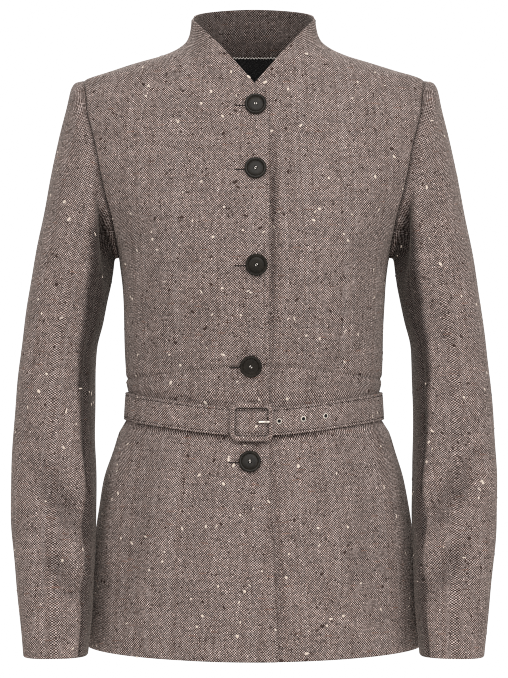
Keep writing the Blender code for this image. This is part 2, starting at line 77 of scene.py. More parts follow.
camera = bpy.data.objects.new("camera", bpy.data.cameras.new("camera"))
camera.data.sensor_fit = "VERTICAL"
camera.data.lens = camera.data.sensor_height * CAMERA_DISTANCE / (PIXEL * IMAGE_ROWS)
camera.location = (0, -CAMERA_DISTANCE, CAMERA_HEIGHT)
camera.rotation_euler = (math.pi / 2, 0, 0)
scene.collection.objects.link(camera)
scene.camera = camera
print("lens in mm:", round(camera.data.lens, 1))

# %% [markdown]
# ## One way to add a node
# Every finish below is a small tree of nodes. This one function adds a node with its settings and ties
# its inputs to values, sockets or other nodes. Given a node that is there already, it ties more to it.
# So each material reads as a list of what it is made of. A second function turns the colours, written
# as they look on a screen, to linear light.

# %% Helpers for node trees
MATH, VECTOR, RANGE = "ShaderNodeMath", "ShaderNodeVectorMath", "ShaderNodeMapRange"
MIX, NOISE, CHANCE = "ShaderNodeMix", "ShaderNodeTexNoise", "ShaderNodeTexWhiteNoise"
MIX_A, MIX_B = 6, 7  # the two colours of a Mix node


def node(tree, kind, inputs=None, **settings):
    made = tree.nodes.new(kind) if isinstance(kind, str) else kind
    for name, value in settings.items():
        setattr(made, name, value)
    for name, value in (inputs or {}).items():
        if isinstance(value, bpy.types.Node):
            value = next(socket for socket in value.outputs if socket.enabled)
        if isinstance(value, bpy.types.NodeSocket):
            tree.links.new(value, made.inputs[name])
        else:
            made.inputs[name].default_value = value
    return made


def linear(hex_colour):
    shares = [int(hex_colour[i : i + 2], 16) / 255 for i in (1, 3, 5)]
    return tuple(s / 12.92 if s <= 0.04045 else ((s + 0.055) / 1.055) ** 2.4 for s in shares) + (1.0,)


def new_material(name, **constants):
    """A material with its Principled shader, on whose sockets the constants are set."""
    material = bpy.data.materials.new(name)
    material.use_nodes = True
    tree = material.node_tree
    values = {socket.replace("_", " "): value for socket, value in constants.items()}
    return material, tree, node(tree, tree.nodes["Principled BSDF"], values)


print("linear mid brown:", [round(v, 3) for v in linear("#897872")])

# %% [markdown]
# ## Studio light and floor
# The photograph has a white background and soft light from the front and above, with hardly a
# shadow. The world is white to the camera and dim to the jacket. Four large area lights model it: one
# high in front, a weaker one on each side, and one behind for the views of the back. The floor lies
# where the wearer would stand, and is matt white paper, which takes a faint shade and no glare. The
# weave is as fine as a pixel, so denoising, which would smear it, is off, and the pixel filter is
# narrow.

# %% Studio
WORLD_LIGHT, PIXEL_FILTER = 0.32, 1.0
FLOOR_HEIGHT, FLOOR_RADIUS, FLOOR_SIDES = -1.10, 1.5, 96
Lamp = namedtuple("Lamp", "name place size power")
LAMPS = (
    Lamp("key_light", (0.20, -2.4, 1.60), 1.8, 52),
    Lamp("left_light", (-2.2, -2.1, 0.7), 1.2, 27),
    Lamp("right_light", (2.2, -2.1, 0.7), 1.2, 33),
    Lamp("back_light", (0.0, 2.6, 1.4), 2.2, 70),
)

scene.view_settings.view_transform = "Standard"
scene.cycles.use_denoising = False
scene.cycles.filter_width = PIXEL_FILTER
world = scene.world = bpy.data.worlds.new("studio")
world.use_nodes = True
sky = world.node_tree
seen = node(sky, "ShaderNodeLightPath").outputs["Is Camera Ray"]
strength = node(sky, RANGE, {"Value": seen, "To Min": WORLD_LIGHT, "To Max": 1.0})
node(sky, sky.nodes["Background"], {"Color": (1, 1, 1, 1), "Strength": strength})

for lamp in LAMPS:
    light = bpy.data.objects.new(lamp.name, bpy.data.lights.new(lamp.name, "AREA"))
    light.data.size = lamp.size
    light.data.energy = lamp.power
    light.location = lamp.place
    away = light.location.copy()
    away.z -= CAMERA_HEIGHT
    light.rotation_euler = away.to_track_quat("Z", "Y").to_euler()
    scene.collection.objects.link(light)


def mesh_of(name, work):
    """The mesh that a bmesh has drawn."""
    mesh = bpy.data.meshes.new(name)
    work.to_mesh(mesh)
    work.free()
    return mesh


def finished(name, mesh, materials, sharp=None):
    """An object for a mesh. With sharp it is smooth, but for edges of more than so many degrees."""
    for material in materials:
        mesh.materials.append(material)
    if sharp:
        mesh.shade_smooth()
        mesh.set_sharp_from_angle(angle=math.radians(sharp))
    piece = bpy.data.objects.new(name, mesh)
    scene.collection.objects.link(piece)
    return piece


shape = bmesh.new()
bmesh.ops.create_circle(shape, cap_ends=True, segments=FLOOR_SIDES, radius=FLOOR_RADIUS)
bmesh.ops.translate(shape, verts=shape.verts, vec=(0, 0, FLOOR_HEIGHT))
paper, _, _ = new_material("matt_white_paper", Base_Color=linear("#f4f2ef"), Roughness=0.9)
floor = finished("studio_floor", mesh_of("studio_floor", shape), [paper])
print("lights:", len(LAMPS))

# %% [markdown]
# ## Woollen tweed
# The cloth is a plain-woven tweed of carded wool: pale beige-pink yarns one way and dark brown yarns
# the other way, with slubs of rust and small dark and white specks spun in. To the eye that is a
# lively salt-and-pepper grain, quite matt, with a faint bloom of loose fibres along the outline.
# It could be painted, but drawn from the cloth's own flat coordinates it follows each piece as it
# was cut. The real yarns are about 1.1 mm apart. At one millimetre a pixel that is too fine to show,
# so the yarns are drawn 1.32 mm apart. The cloth's hollow attribute, from 0 to 1, draws the deep shade
# of creases and seams. Inside the neck the same tweed is drawn darker, as little light gets there.

# %% Tweed
YARN, YARN_DRIFT, SLUB_YARNS = 0.00132, 1.5, 6
DRIFTS, MOTTLES = 90.0, 38.0  # to a metre: the yarns wander every 11 mm, the tone every 26 mm
YARN_COLOURS = (("#a6948d", "#b9a9a3"), ("#2d1f1a", "#49352d"))  # of the warp and the weft
SLUB_COLOURS, SLUB_COVER = ("#2c211d", "#8f6450"), 0.45
SPECKS = (  # by chance from 0 to 1, what a crossing's colour is multiplied by
    (0.0, 0.20, 0.18, 0.17), (0.030, 0.62, 0.62, 0.62), (0.5, 1.0, 1.0, 1.0),
    (0.985, 1.35, 1.35, 1.35), (0.992, 1.9, 1.9, 1.9),
)
HOLLOW_LIGHT, NECK_LIGHT = 0.22, 0.46


def tweed_material(name, light):
    material, tree, shader = new_material(
        name, Roughness=0.93, Specular_IOR_Level=0.15,
        Sheen_Weight=0.22, Sheen_Roughness=0.45, Sheen_Tint=linear("#e8dccf"),
    )
    flat = node(tree, "ShaderNodeUVMap", uv_map="cut")
    drift = node(tree, NOISE, {"Vector": flat, "Scale": DRIFTS, "Detail": 2.0}).outputs["Color"]
    middle = node(tree, VECTOR, {0: drift, 1: (0.5, 0.5, 0.5)}, operation="SUBTRACT")
    yarns = node(tree, VECTOR, {0: flat, 1: (1 / YARN, 1 / YARN, 0)}, operation="MULTIPLY")
    sway = (YARN_DRIFT, YARN_DRIFT, 0)
    uneven = node(tree, VECTOR, {0: middle, 1: sway, 2: yarns}, operation="MULTIPLY_ADD")
    cell = node(tree, VECTOR, {0: uneven}, operation="FLOOR")
    within = node(tree, VECTOR, {0: uneven}, operation="FRACTION")
    count = node(tree, "ShaderNodeSeparateXYZ", {0: cell}).outputs
    place = node(tree, "ShaderNodeSeparateXYZ", {0: within}).outputs
    both = node(tree, MATH, {0: count[0], 1: count[1]}, operation="ADD")
    over = node(tree, MATH, {0: both, 1: 2.0}, operation="FLOORED_MODULO")
    tones, squares = [], []
    for way, (one, two) in enumerate(YARN_COLOURS):
        chance = node(tree, CHANCE, {"W": count[way]}, noise_dimensions="1D")
        colours = {0: chance, MIX_A: linear(one), MIX_B: linear(two)}
        tones.append(node(tree, MIX, colours, data_type="RGBA"))
        off = node(tree, MATH, {0: place[way], 1: 0.5}, operation="SUBTRACT")
        squares.append(node(tree, MATH, {0: off, 1: 2.0}, operation="POWER"))
    woven = node(tree, MIX, {0: over, MIX_A: tones[1], MIX_B: tones[0]}, data_type="RGBA")
    chance = node(tree, CHANCE, {"Vector": cell}, noise_dimensions="2D")
    speck = node(tree, "ShaderNodeValToRGB", {0: chance})
    steps = speck.color_ramp.elements
    for number, (position, *level) in enumerate(SPECKS):
        step = steps[number] if number < 2 else steps.new(position)
        step.position, step.color = position, (*level, 1)
    flecked = node(
        tree, MIX, {0: 1.0, MIX_A: woven, MIX_B: speck}, data_type="RGBA", blend_type="MULTIPLY"
    )
    long = node(tree, VECTOR, {0: uneven, 1: (1 / SLUB_YARNS, 1.0, 0)}, operation="MULTIPLY")
    slub = node(tree, VECTOR, {0: long}, operation="FLOOR")
    chance = node(tree, CHANCE, {"Vector": slub}, noise_dimensions="2D")
    some = {"Value": chance, "From Min": 0.990, "From Max": 0.994, "To Max": SLUB_COVER}
    slub_share = node(tree, RANGE, some)
    slub_hue = node(tree, "ShaderNodeValToRGB", {0: chance.outputs["Color"]})
    for step, colour in zip(slub_hue.color_ramp.elements, SLUB_COLOURS):
        step.color = linear(colour)
    slubbed = node(tree, MIX, {0: slub_share, MIX_A: flecked, MIX_B: slub_hue}, data_type="RGBA")
    off_crown = node(tree, MATH, {0: squares[0], 1: squares[1]}, operation="ADD")
    crown = node(tree, RANGE, {"Value": off_crown, "From Max": 0.5, "To Min": 1.0, "To Max": 0.0})
    # painted light and shade: each yarn is drawn darker towards the gaps beside it and a little lighter
    # on its crown
    shade = node(tree, RANGE, {"Value": crown, "To Min": 0.55, "To Max": 1.12})
    mottle = node(tree, NOISE, {"Vector": flat, "Scale": MOTTLES, "Detail": 3.0})
    spread = {"From Min": 0.3, "From Max": 0.7, "To Min": 0.88 * light, "To Max": 1.12 * light}
    tone = node(tree, RANGE, {"Value": mottle, **spread})
    # painted shade: the hollow attribute darkens the colour, down to HOLLOW_LIGHT of it where hollow is
    # 1
    hollow = node(tree, "ShaderNodeAttribute", attribute_name="hollow").outputs["Fac"]
    open_share = node(tree, RANGE, {"Value": hollow, "To Min": 1.0, "To Max": HOLLOW_LIGHT})
    clear = node(tree, MATH, {0: shade, 1: tone}, operation="MULTIPLY")
    level = node(tree, MATH, {0: clear, 1: open_share}, operation="MULTIPLY")
    shaded = node(tree, VECTOR, {0: slubbed, "Scale": level}, operation="SCALE")
    bump = node(tree, "ShaderNodeBump", {"Strength": 0.6, "Distance": 0.0005, "Height": crown})
    node(tree, shader, {"Base Color": shaded, "Normal": bump})
    return material


TWEED = tweed_material("woollen_tweed", 1.0)
# painted shade: the same tweed drawn at NECK_LIGHT of its brightness, for the shade inside the neck
FACING_TWEED = tweed_material("woollen_tweed_in_the_neck", NECK_LIGHT)
print("tweed yarns are drawn", YARN * 1000, "mm apart")

# %% [markdown]
# ## Lining, horn, thread and metal
# The lining is a near-black viscose twill: slanting ribs and a soft sheen. Its real ribs are too fine
# to show, so they are drawn about 4 mm apart. The buttons are dark horn with a dull satin polish, so
# cloudy streaks show and the lights hardly do. The stitches are matt spun thread. The prong is nickel
# plate, pale and soft in the light, and the eyelets are the same plate worn duller by use. Neps are
# matt knots of wool, pale or dark, and a plain near-black is painted shadow that stands for the depth
# of a hole.

# %% The smaller finishes
LINING_RIBS = 110.0
# clouds of colour to a metre, which makes each about 11, 3.3, 1.1 or 1.4 mm long
HORN_CLOUDS, PLATE_CLOUDS, THREAD_CLOUDS, NEP_CLOUDS = 90.0, 300.0, 900.0, 700.0


def lining_material():
    material, tree, shader = new_material("viscose_lining", Roughness=0.48)
    flat = node(tree, "ShaderNodeUVMap", uv_map="cut")
    ribs = node(
        tree, "ShaderNodeTexWave", {"Vector": flat, "Scale": LINING_RIBS, "Distortion": 0.4},
        bands_direction="DIAGONAL",
    ).outputs["Fac"]
    tones = {0: ribs, MIX_A: linear("#161515"), MIX_B: linear("#211f1f")}
    colour = node(tree, MIX, tones, data_type="RGBA")
    bump = node(tree, "ShaderNodeBump", {"Strength": 0.25, "Distance": 0.0003, "Height": ribs})
    node(tree, shader, {"Base Color": colour, "Normal": bump})
    return material


def mottled_material(name, dark, pale, scale, **constants):
    """A finish whose colour drifts between two tones, by the piece's own coordinates."""
    material, tree, shader = new_material(name, **constants)
    place = node(tree, "ShaderNodeTexCoord").outputs["Object"]
    cloud = node(tree, NOISE, {"Vector": place, "Scale": scale, "Detail": 4.0, "Distortion": 1.2})
    spread = node(tree, RANGE, {"Value": cloud, "From Min": 0.3, "From Max": 0.7})
    tones = {0: spread, MIX_A: linear(dark), MIX_B: linear(pale)}
    colour = node(tree, MIX, tones, data_type="RGBA")
    bump = node(tree, "ShaderNodeBump", {"Strength": 0.15, "Distance": 0.0002, "Height": cloud})
    node(tree, shader, {"Base Color": colour, "Normal": bump})
    return material


LINING = lining_material()
HORN = mottled_material(
    "polished_dark_horn", "#15120e", "#2a251f", HORN_CLOUDS, Roughness=0.45, Specular_IOR_Level=0.20
)
NICKEL, WORN_NICKEL = (
    mottled_material(name, dark, pale, PLATE_CLOUDS, Roughness=rough, Metallic=0.35)
    for name, dark, pale, rough in (
        ("nickel_plate", "#e2d8ca", "#f6efe4", 0.38),
        ("worn_nickel_plate", "#c6bcb0", "#e4dbd0", 0.45),
    )
)
DARK_THREAD, PALE_THREAD, SHADOW, NEP, DARK_NEP = (
    mottled_material(name, dark, pale, clouds, Roughness=rough)
    for name, dark, pale, clouds, rough in (
        ("brown_spun_thread", "#241b18", "#3b2d28", THREAD_CLOUDS, 0.85),
        ("pale_spun_thread", "#bdb5ad", "#efe8e0", THREAD_CLOUDS, 0.85),
        ("hole_shadow", "#050404", "#0d0b0a", THREAD_CLOUDS, 0.95),
        ("undyed_wool_nep", "#bca99a", "#ecdfd1", NEP_CLOUDS, 0.95),
        ("dark_wool_nep", "#2a1c17", "#46322a", NEP_CLOUDS, 0.95),
    )
)
print("finishes:", [material.name for material in bpy.data.materials])

# %% [markdown]
# ## The body as a surface
# The jacket's body is one smooth surface of angle and height: each height has a rounded section with
# its own width, front depth and back depth. These are the sections of the solids, so whatever is laid
# on them here lies where the frame is. A modelling tool could sculpt it, but tables stay exact.

# %% Sections of the body
# height, half width, depth to the front and to the back in mm, and how square the section is
TORSO = np.array([
    (50, 66, 56, 55, 2), (27, 66.8, 59, 57, 2), (12, 69, 63, 59, 2), (4, 72.5, 65.5, 61.5, 2),
    (-4, 82, 68, 65, 2), (-12, 99.4, 70, 70, 2), (-20, 125.6, 72, 75, 2), (-28.5, 151.8, 74.5, 80, 2),
    (-39, 183.4, 77, 86, 2), (-60, 199, 84, 93, 2.2), (-81, 203.4, 90.5, 98, 2.4),
    (-130, 191, 104, 107, 2.5), (-157, 178.6, 111, 109, 2.5), (-194, 158.9, 119, 109, 2.45),
    (-230, 145.5, 124.5, 107, 2.35), (-266, 141, 124.5, 103, 2.3), (-300, 140, 119.5, 98, 2.25),
    (-336, 139, 112.5, 93, 2.2), (-367, 137.2, 107, 89, 2.15), (-390, 133.5, 103, 87, 2.15),
    (-404, 137.5, 102.5, 89, 2.15), (-420, 146.2, 106, 94, 2.15), (-437, 151.7, 111, 99.5, 2.15),
    (-468, 161.7, 118.5, 109, 2.15), (-497, 166.8, 124, 116, 2.15), (-530, 171.5, 128.5, 121, 2.15),
    (-580, 177, 132.5, 124, 2.15), (-660, 183.5, 137, 127, 2.15),
])[::-1]
TORSO = np.round(TORSO / [1000, 1000, 1000, 1000, 1], 5)


def smooth_through(places, values):
    """A smooth function through values at rising places, with no overshoot."""
    places, values = np.array(places), np.array(values)
    spans = np.diff(places)
    slope = np.diff(values) / spans
    product = slope[:-1] * slope[1:]
    total = np.where(product > 0, slope[:-1] + slope[1:], 1.0)
    inner = np.where(product > 0, 2 * product / total, 0.0)
    tangent = np.concatenate([slope[:1], inner, slope[-1:]])

    def at(place):
        place = np.clip(place, places[0], places[-1])
        i = np.clip(np.searchsorted(places, place) - 1, 0, len(spans) - 1)
        t = (place - places[i]) / spans[i]
        rise = t * t * (3 - 2 * t)
        leave = t * (1 - t) ** 2 * spans[i] * tangent[i]
        arrive = t * t * (t - 1) * spans[i] * tangent[i + 1]
        return values[i] * (1 - rise) + values[i + 1] * rise + leave + arrive

    return at


half_width, front_depth, back_depth, square = (
    smooth_through(TORSO[:, 0], column) for column in TORSO.T[1:]
)
print("sections of the body:", len(TORSO))

# %% The surface of the body
BUST_FULLNESS, BUST_HEIGHT, BUST_REACH = 0.0050, -0.2200, 0.0550
BUST_ANGLE, BUST_SPREAD = math.radians(36), math.radians(22)
SIDE = math.pi / 2


def smoothstep(start, end, value):
    t = np.clip((value - start) / (end - start), 0, 1)
    return t * t * (3 - 2 * t)


def length(vectors):
    return np.linalg.norm(vectors, axis=-1)


def unit(vectors):
    return vectors / length(vectors)[..., None]


def torso(angle, height):
    angle, height = np.broadcast_arrays(np.asarray(angle, float), np.asarray(height, float))
    power = square(height)
    depth = np.where(np.cos(angle) > 0, front_depth(height), back_depth(height))
    across, ahead = np.abs(np.sin(angle) / half_width(height)), np.abs(np.cos(angle) / depth)
    reach = (across**power + ahead**power) ** (-1 / power)
    off_side = (np.abs(angle) - BUST_ANGLE) / BUST_SPREAD
    off_height = (height - BUST_HEIGHT) / BUST_REACH
    reach = reach + BUST_FULLNESS * np.exp(-(off_side**2) - off_height**2)
    return np.stack([reach * np.sin(angle), -reach * np.cos(angle), height], axis=-1)


def torso_normal(angle, height, step=1e-4):
    angle, height = np.broadcast_arrays(np.asarray(angle, float), np.asarray(height, float))
    across = torso(angle + step, height) - torso(angle - step, height)
    up = torso(angle, height + step) - torso(angle, height - step)
    return unit(np.cross(across, up))


def on_torso(patch):
    return torso(*np.moveaxis(patch, -1, 0)), torso_normal(*np.moveaxis(patch, -1, 0))


waist_round = torso(np.linspace(0, 4 * SIDE, 361), -0.39)
print("girth at the waist in mm:", round(1000 * length(np.diff(waist_round, axis=0)).sum()))

# %% [markdown]
# ## The cut of the panels
# The body is cut as the real jacket is: two fronts that overlap down the middle, a back in two halves,
# and a skirt joined on at the waist. Each panel is a grid of angles and heights between its four
# borders. Panels that share a seam share the points along it, so no gap can open. The grids here are
# several times finer than those of the solids, for creases to have room.

# %% Borders
FINER = 5
ARMHOLE_ROWS = 12 * FINER
UNDERARM, SHOULDER = -0.2300, -0.0390
ARMHOLE_FRONT, ARMHOLE_BACK = 0.0640, 0.0580
OVERLAP, OVERLAP_FLARE, FLARE_START = 0.0158, 0.0080, -0.4650
WAIST_SIDE, WAIST_ARCH = -0.3607, 0.0150
HEM_SIDE, HEM_DROP = -0.6450, 0.0070
BELT_WIDTH, BELT_SIDE, BELT_DROOP = 0.0290, -0.3896, 0.0144


def angle_at_x(x, height):
    power = square(height)
    left = np.clip(1 - np.abs(x / half_width(height)) ** power, 0, 1)
    return np.arctan2(x, front_depth(height) * left ** (1 / power))


def angle_at_depth(y, height):
    power = square(height)
    depth = np.where(y < 0, front_depth(height), back_depth(height))
    left = np.clip(1 - np.abs(y / depth) ** power, 0, 1)
    return np.arctan2(half_width(height) * left ** (1 / power), -y)


def waist_seam(angle):
    return WAIST_SIDE + WAIST_ARCH * np.maximum(np.cos(angle), 0) ** 2


def hem(angle):
    return HEM_SIDE - HEM_DROP * np.maximum(np.cos(angle), 0)


def belt_line(angle):
    return BELT_SIDE - BELT_DROOP * np.maximum(np.cos(angle), 0) ** 2


def front_edge_x(height):
    return OVERLAP + OVERLAP_FLARE * smoothstep(FLARE_START, HEM_SIDE, height)


def pair(angle, height):
    return np.stack(np.broadcast_arrays(angle, height), axis=-1)


def armhole(depth):
    turn = np.linspace(math.pi, 0, ARMHOLE_ROWS + 1)
    height = (UNDERARM + SHOULDER) / 2 + (SHOULDER - UNDERARM) / 2 * np.cos(turn)
    return pair(angle_at_depth(depth * np.sin(turn), height), height)


print("depth of an armhole in mm:", round(1000 * (ARMHOLE_FRONT + ARMHOLE_BACK)))

# %% Grids between borders
CORE_TOP, FARTHEST, HALVINGS = -0.1500, 4, 48


def coons(bottom, top, left, right, fade):
    """A grid between four borders. Each column takes its share, in fade, of the left one's bow, and
    the same of the right one's."""
    v = np.linspace(0, 1, len(left))[:, None, None]
    along = (1 - v) * bottom[None] + v * top[None]
    left_bow = left[:, None] - along[:, :1]
    right_bow = right[:, None] - along[:, -1:]
    return along + fade[:, None] * left_bow + fade[::-1, None] * right_bow


def settled(points):
    """Angle and height of points carried straight out from the body's core on to its surface."""
    core = points * 0
    core[..., 2] = np.minimum(points[..., 2], CORE_TOP)
    near, far = np.zeros(points.shape[:-1]), np.full(points.shape[:-1], FARTHEST)
    for _ in range(HALVINGS):
        share = (near + far) / 2
        x, y, z = np.moveaxis(core + (points - core) * share[..., None], -1, 0)
        angle = np.mod(np.arctan2(x, -y), 4 * SIDE)
        outside = np.hypot(x, y) > length(torso(angle, z)[..., :2])
        near, far = np.where(outside, near, share), np.where(outside, share, far)
    return pair(angle, z)


def between(grid, places, axis):
    """A grid's values at fractional places along one of its axes."""
    low = np.minimum(places.astype(int), grid.shape[axis] - 2)
    share = (places - low).reshape([-1 if k == axis else 1 for k in range(grid.ndim)])
    return np.take(grid, low, axis) * (1 - share) + np.take(grid, low + 1, axis) * share


print("between the lines of a grid:", between(np.arange(3.0), np.array([0.5, 1.25]), 0))

# %% Patches of the bodice
FRONT_COLUMNS, COLLAR_COLUMNS, LOW_ROWS = 10 * FINER, 12 * FINER, 5 * FINER
BACK_COLUMNS = 2 * FRONT_COLUMNS + COLLAR_COLUMNS
COLLAR_SIDE, COLLAR_RISE, COLLAR_FLAT, COLLAR_EASE = 0.0270, 0.0170, 0.60, 0.08
NECK_CORNER, NECK_BOW, BACK_BOW_REACH = -0.0668, 0.0018, 0.70
SIDE_SEAM = pair(SIDE, np.linspace(WAIST_SIDE, UNDERARM, LOW_ROWS + 1))
FRONT_EDGE = angle_at_x(-OVERLAP, WAIST_SIDE + WAIST_ARCH)


def front_bodice_patch():
    waist = np.linspace(FRONT_EDGE, SIDE, FRONT_COLUMNS + 1)
    bottom = pair(waist, waist_seam(waist))
    top = pair(SIDE, np.linspace(COLLAR_SIDE, SHOULDER, FRONT_COLUMNS + 1))
    right = np.concatenate([SIDE_SEAM[:-1], armhole(-ARMHOLE_FRONT)])
    edge_heights = np.linspace(bottom[0, 1], NECK_CORNER, LOW_ROWS + ARMHOLE_ROWS // 2 + 1)
    front_edge = pair(angle_at_x(-OVERLAP, edge_heights), edge_heights)
    rise = np.sin(np.linspace(0, 1, ARMHOLE_ROWS // 2 + 1) * SIDE)
    neck_x = -OVERLAP + (half_width(COLLAR_SIDE) + OVERLAP) * rise
    neck_z = NECK_CORNER + (COLLAR_SIDE - NECK_CORNER) * rise + NECK_BOW * np.sin(math.pi * rise)
    left = np.concatenate([front_edge[:-1], pair(angle_at_x(neck_x, neck_z), neck_z)])
    left[0], left[-1] = bottom[0], top[0]
    return coons(bottom, top, left, right, np.linspace(1, 0, FRONT_COLUMNS + 1))


def back_bodice_patch():
    waist = np.linspace(SIDE, 3 * SIDE, BACK_COLUMNS + 1)
    bottom = pair(waist, waist_seam(waist))
    shoulder = np.linspace(SHOULDER, COLLAR_SIDE, FRONT_COLUMNS + 1)
    collar = np.linspace(SIDE, 3 * SIDE, COLLAR_COLUMNS + 1)
    climb = np.hypot(np.sin(collar - SIDE), COLLAR_EASE) - COLLAR_EASE
    collar_top = COLLAR_SIDE + COLLAR_RISE * (climb / climb.max()) ** COLLAR_FLAT
    ends = pair(SIDE, shoulder[:-1]), pair(3 * SIDE, shoulder[::-1][1:])
    top = np.concatenate([ends[0], pair(collar, collar_top), ends[1]])
    left = np.concatenate([SIDE_SEAM[:-1], armhole(ARMHOLE_BACK)])
    right = pair(4 * SIDE - left[:, 0], left[:, 1])
    borders = [torso(*line.T) for line in (bottom, top, left, right)]
    fade = np.maximum(1 - (np.linspace(0, 1, BACK_COLUMNS + 1) / BACK_BOW_REACH) ** 2, 0) ** 2
    return settled(coons(*borders, fade))


print("points across a front:", FRONT_COLUMNS + 1, "and up its armhole:", ARMHOLE_ROWS + 1)

# %% Patches of the skirt
SKIRT_ROWS = 7


def skirt_heights(angle):
    """Rows of heights from the hem up to the waist seam, with a row along each edge of the belt."""
    belt = belt_line(angle)
    foot = belt - BELT_WIDTH / 2
    rows = [hem(angle) + (foot - hem(angle)) * step for step in np.linspace(0, 1, SKIRT_ROWS + 1)]
    rows = np.array(rows + [belt, belt + BELT_WIDTH / 2, waist_seam(angle)])
    return between(rows, np.linspace(0, len(rows) - 1, (len(rows) - 1) * FINER + 1), 0)


def front_skirt_patch():
    levels = skirt_heights(np.linspace(FRONT_EDGE, SIDE, FRONT_COLUMNS + 1))
    edges = angle_at_x(-front_edge_x(levels[:, :1]), levels[:, :1])
    share = np.linspace(0, 1, FRONT_COLUMNS + 1)[None]
    return pair(edges + (SIDE - edges) * share, levels)


def back_skirt_patch():
    angles = np.linspace(SIDE, 3 * SIDE, BACK_COLUMNS + 1)
    return pair(angles[None], skirt_heights(angles))


print("points up and across a front skirt:", front_skirt_patch().shape[:2])

# %% [markdown]
# ## Sleeves
# Each sleeve is a tube of slanting rings that starts on the armhole itself, so its head sits in the
# seam, and bends forward at the elbow as an arm does. The table gives each ring's outer and inner
# point as seen from the front, and its depth. Below the head the front half of a ring is squarer than
# an ellipse, because cloth hangs flatter there. Each sleeve is cut in an upper and an under piece.

# %% Sleeve rings
# x and z of the outer and of the inner point, y of the centre, and half the depth, in mm
SLEEVE = np.round(np.array([
    (183.4, -39, 145.5, -230, -3, 61), (192.5, -41.2, 148.2, -230.3, -3, 62.5),
    (196.8, -47, 150, -231.2, -3, 63), (201.8, -70, 150.8, -233.2, -3, 63.5),
    (211, -105, 151.5, -237, -3, 64), (219.5, -146, 152.2, -242.5, -3, 64),
    (228, -190, 153.2, -250, -3, 63), (235.5, -230, 154.8, -260.5, -3, 61.5),
    (241.3, -266, 158, -276.5, -3, 60), (246.3, -300, 162.5, -300, -4, 58),
    (250.5, -332, 169, -329, -7, 55.5), (254.5, -370, 170.3, -364, -12, 53),
    (257.5, -420, 170.8, -414, -21, 51), (259, -465, 169, -460, -31, 49),
    (258, -510, 168, -506, -43, 47.5), (253.5, -555, 168.8, -552, -55, 46),
    (248, -602, 170.5, -600, -66, 44), (242.5, -651, 175, -650, -75, 41),
]) / 1000, 5)
SLEEVE_BLEND_RINGS = 5
FLAT_POWER, FLAT_FROM, FLAT_FULL = 0.72, 4, 9
FRONT_SEAM_POINT, BACK_SEAM_POINT = 9 * FINER, 17 * FINER


def sleeve_rings():
    """Points and normals of the left sleeve, from the armhole down, round by front and underarm, and
    the body's normals along the armhole."""
    loop = np.concatenate([armhole(-ARMHOLE_FRONT)[::-1], armhole(ARMHOLE_BACK)[1:]])
    loop, loop_normals = on_torso(loop)
    turn = np.linspace(0, 2 * math.pi, len(loop))
    steps = np.linspace(0, len(SLEEVE) - 1, (len(SLEEVE) - 1) * FINER + 1)
    outer_x, outer_z, inner_x, inner_z, centre_y, half_depth = (
        smooth_through(range(len(SLEEVE)), column)(steps)[:, None] for column in SLEEVE.T
    )
    power = 1 - (1 - FLAT_POWER) * smoothstep(FLAT_FROM, FLAT_FULL, steps)[:, None]
    power = np.where(np.sin(turn)[None] > 0, power, 1)
    across, forward = (
        np.sign(wave) * np.abs(wave) ** power for wave in (np.cos(turn)[None], np.sin(turn)[None])
    )
    x = (outer_x + inner_x) / 2 + (outer_x - inner_x) / 2 * across
    z = (outer_z + inner_z) / 2 + (outer_z - inner_z) / 2 * across
    points = np.stack([x, centre_y - half_depth * forward, z], axis=-1)
    fade = 1 - smoothstep(0, SLEEVE_BLEND_RINGS, steps)
    points = points + fade[:, None, None] * (loop - points[0])
    around = np.roll(points[:, :-1], -1, axis=1) - np.roll(points[:, :-1], 1, axis=1)
    around = np.concatenate([around, around[:, :1]], axis=1)
    normals = unit(np.cross(around, np.gradient(points, axis=0)))
    along_seam = np.clip(np.sum(normals[0] * loop_normals, axis=-1, keepdims=True), 0, 1)
    normals[0] = unit(normals[0] * (1 - along_seam) + loop_normals * along_seam)
    return points, normals, loop_normals


sleeve_points, sleeve_normals, armhole_normals = sleeve_rings()
print("sleeve grid:", sleeve_points.shape[:2])
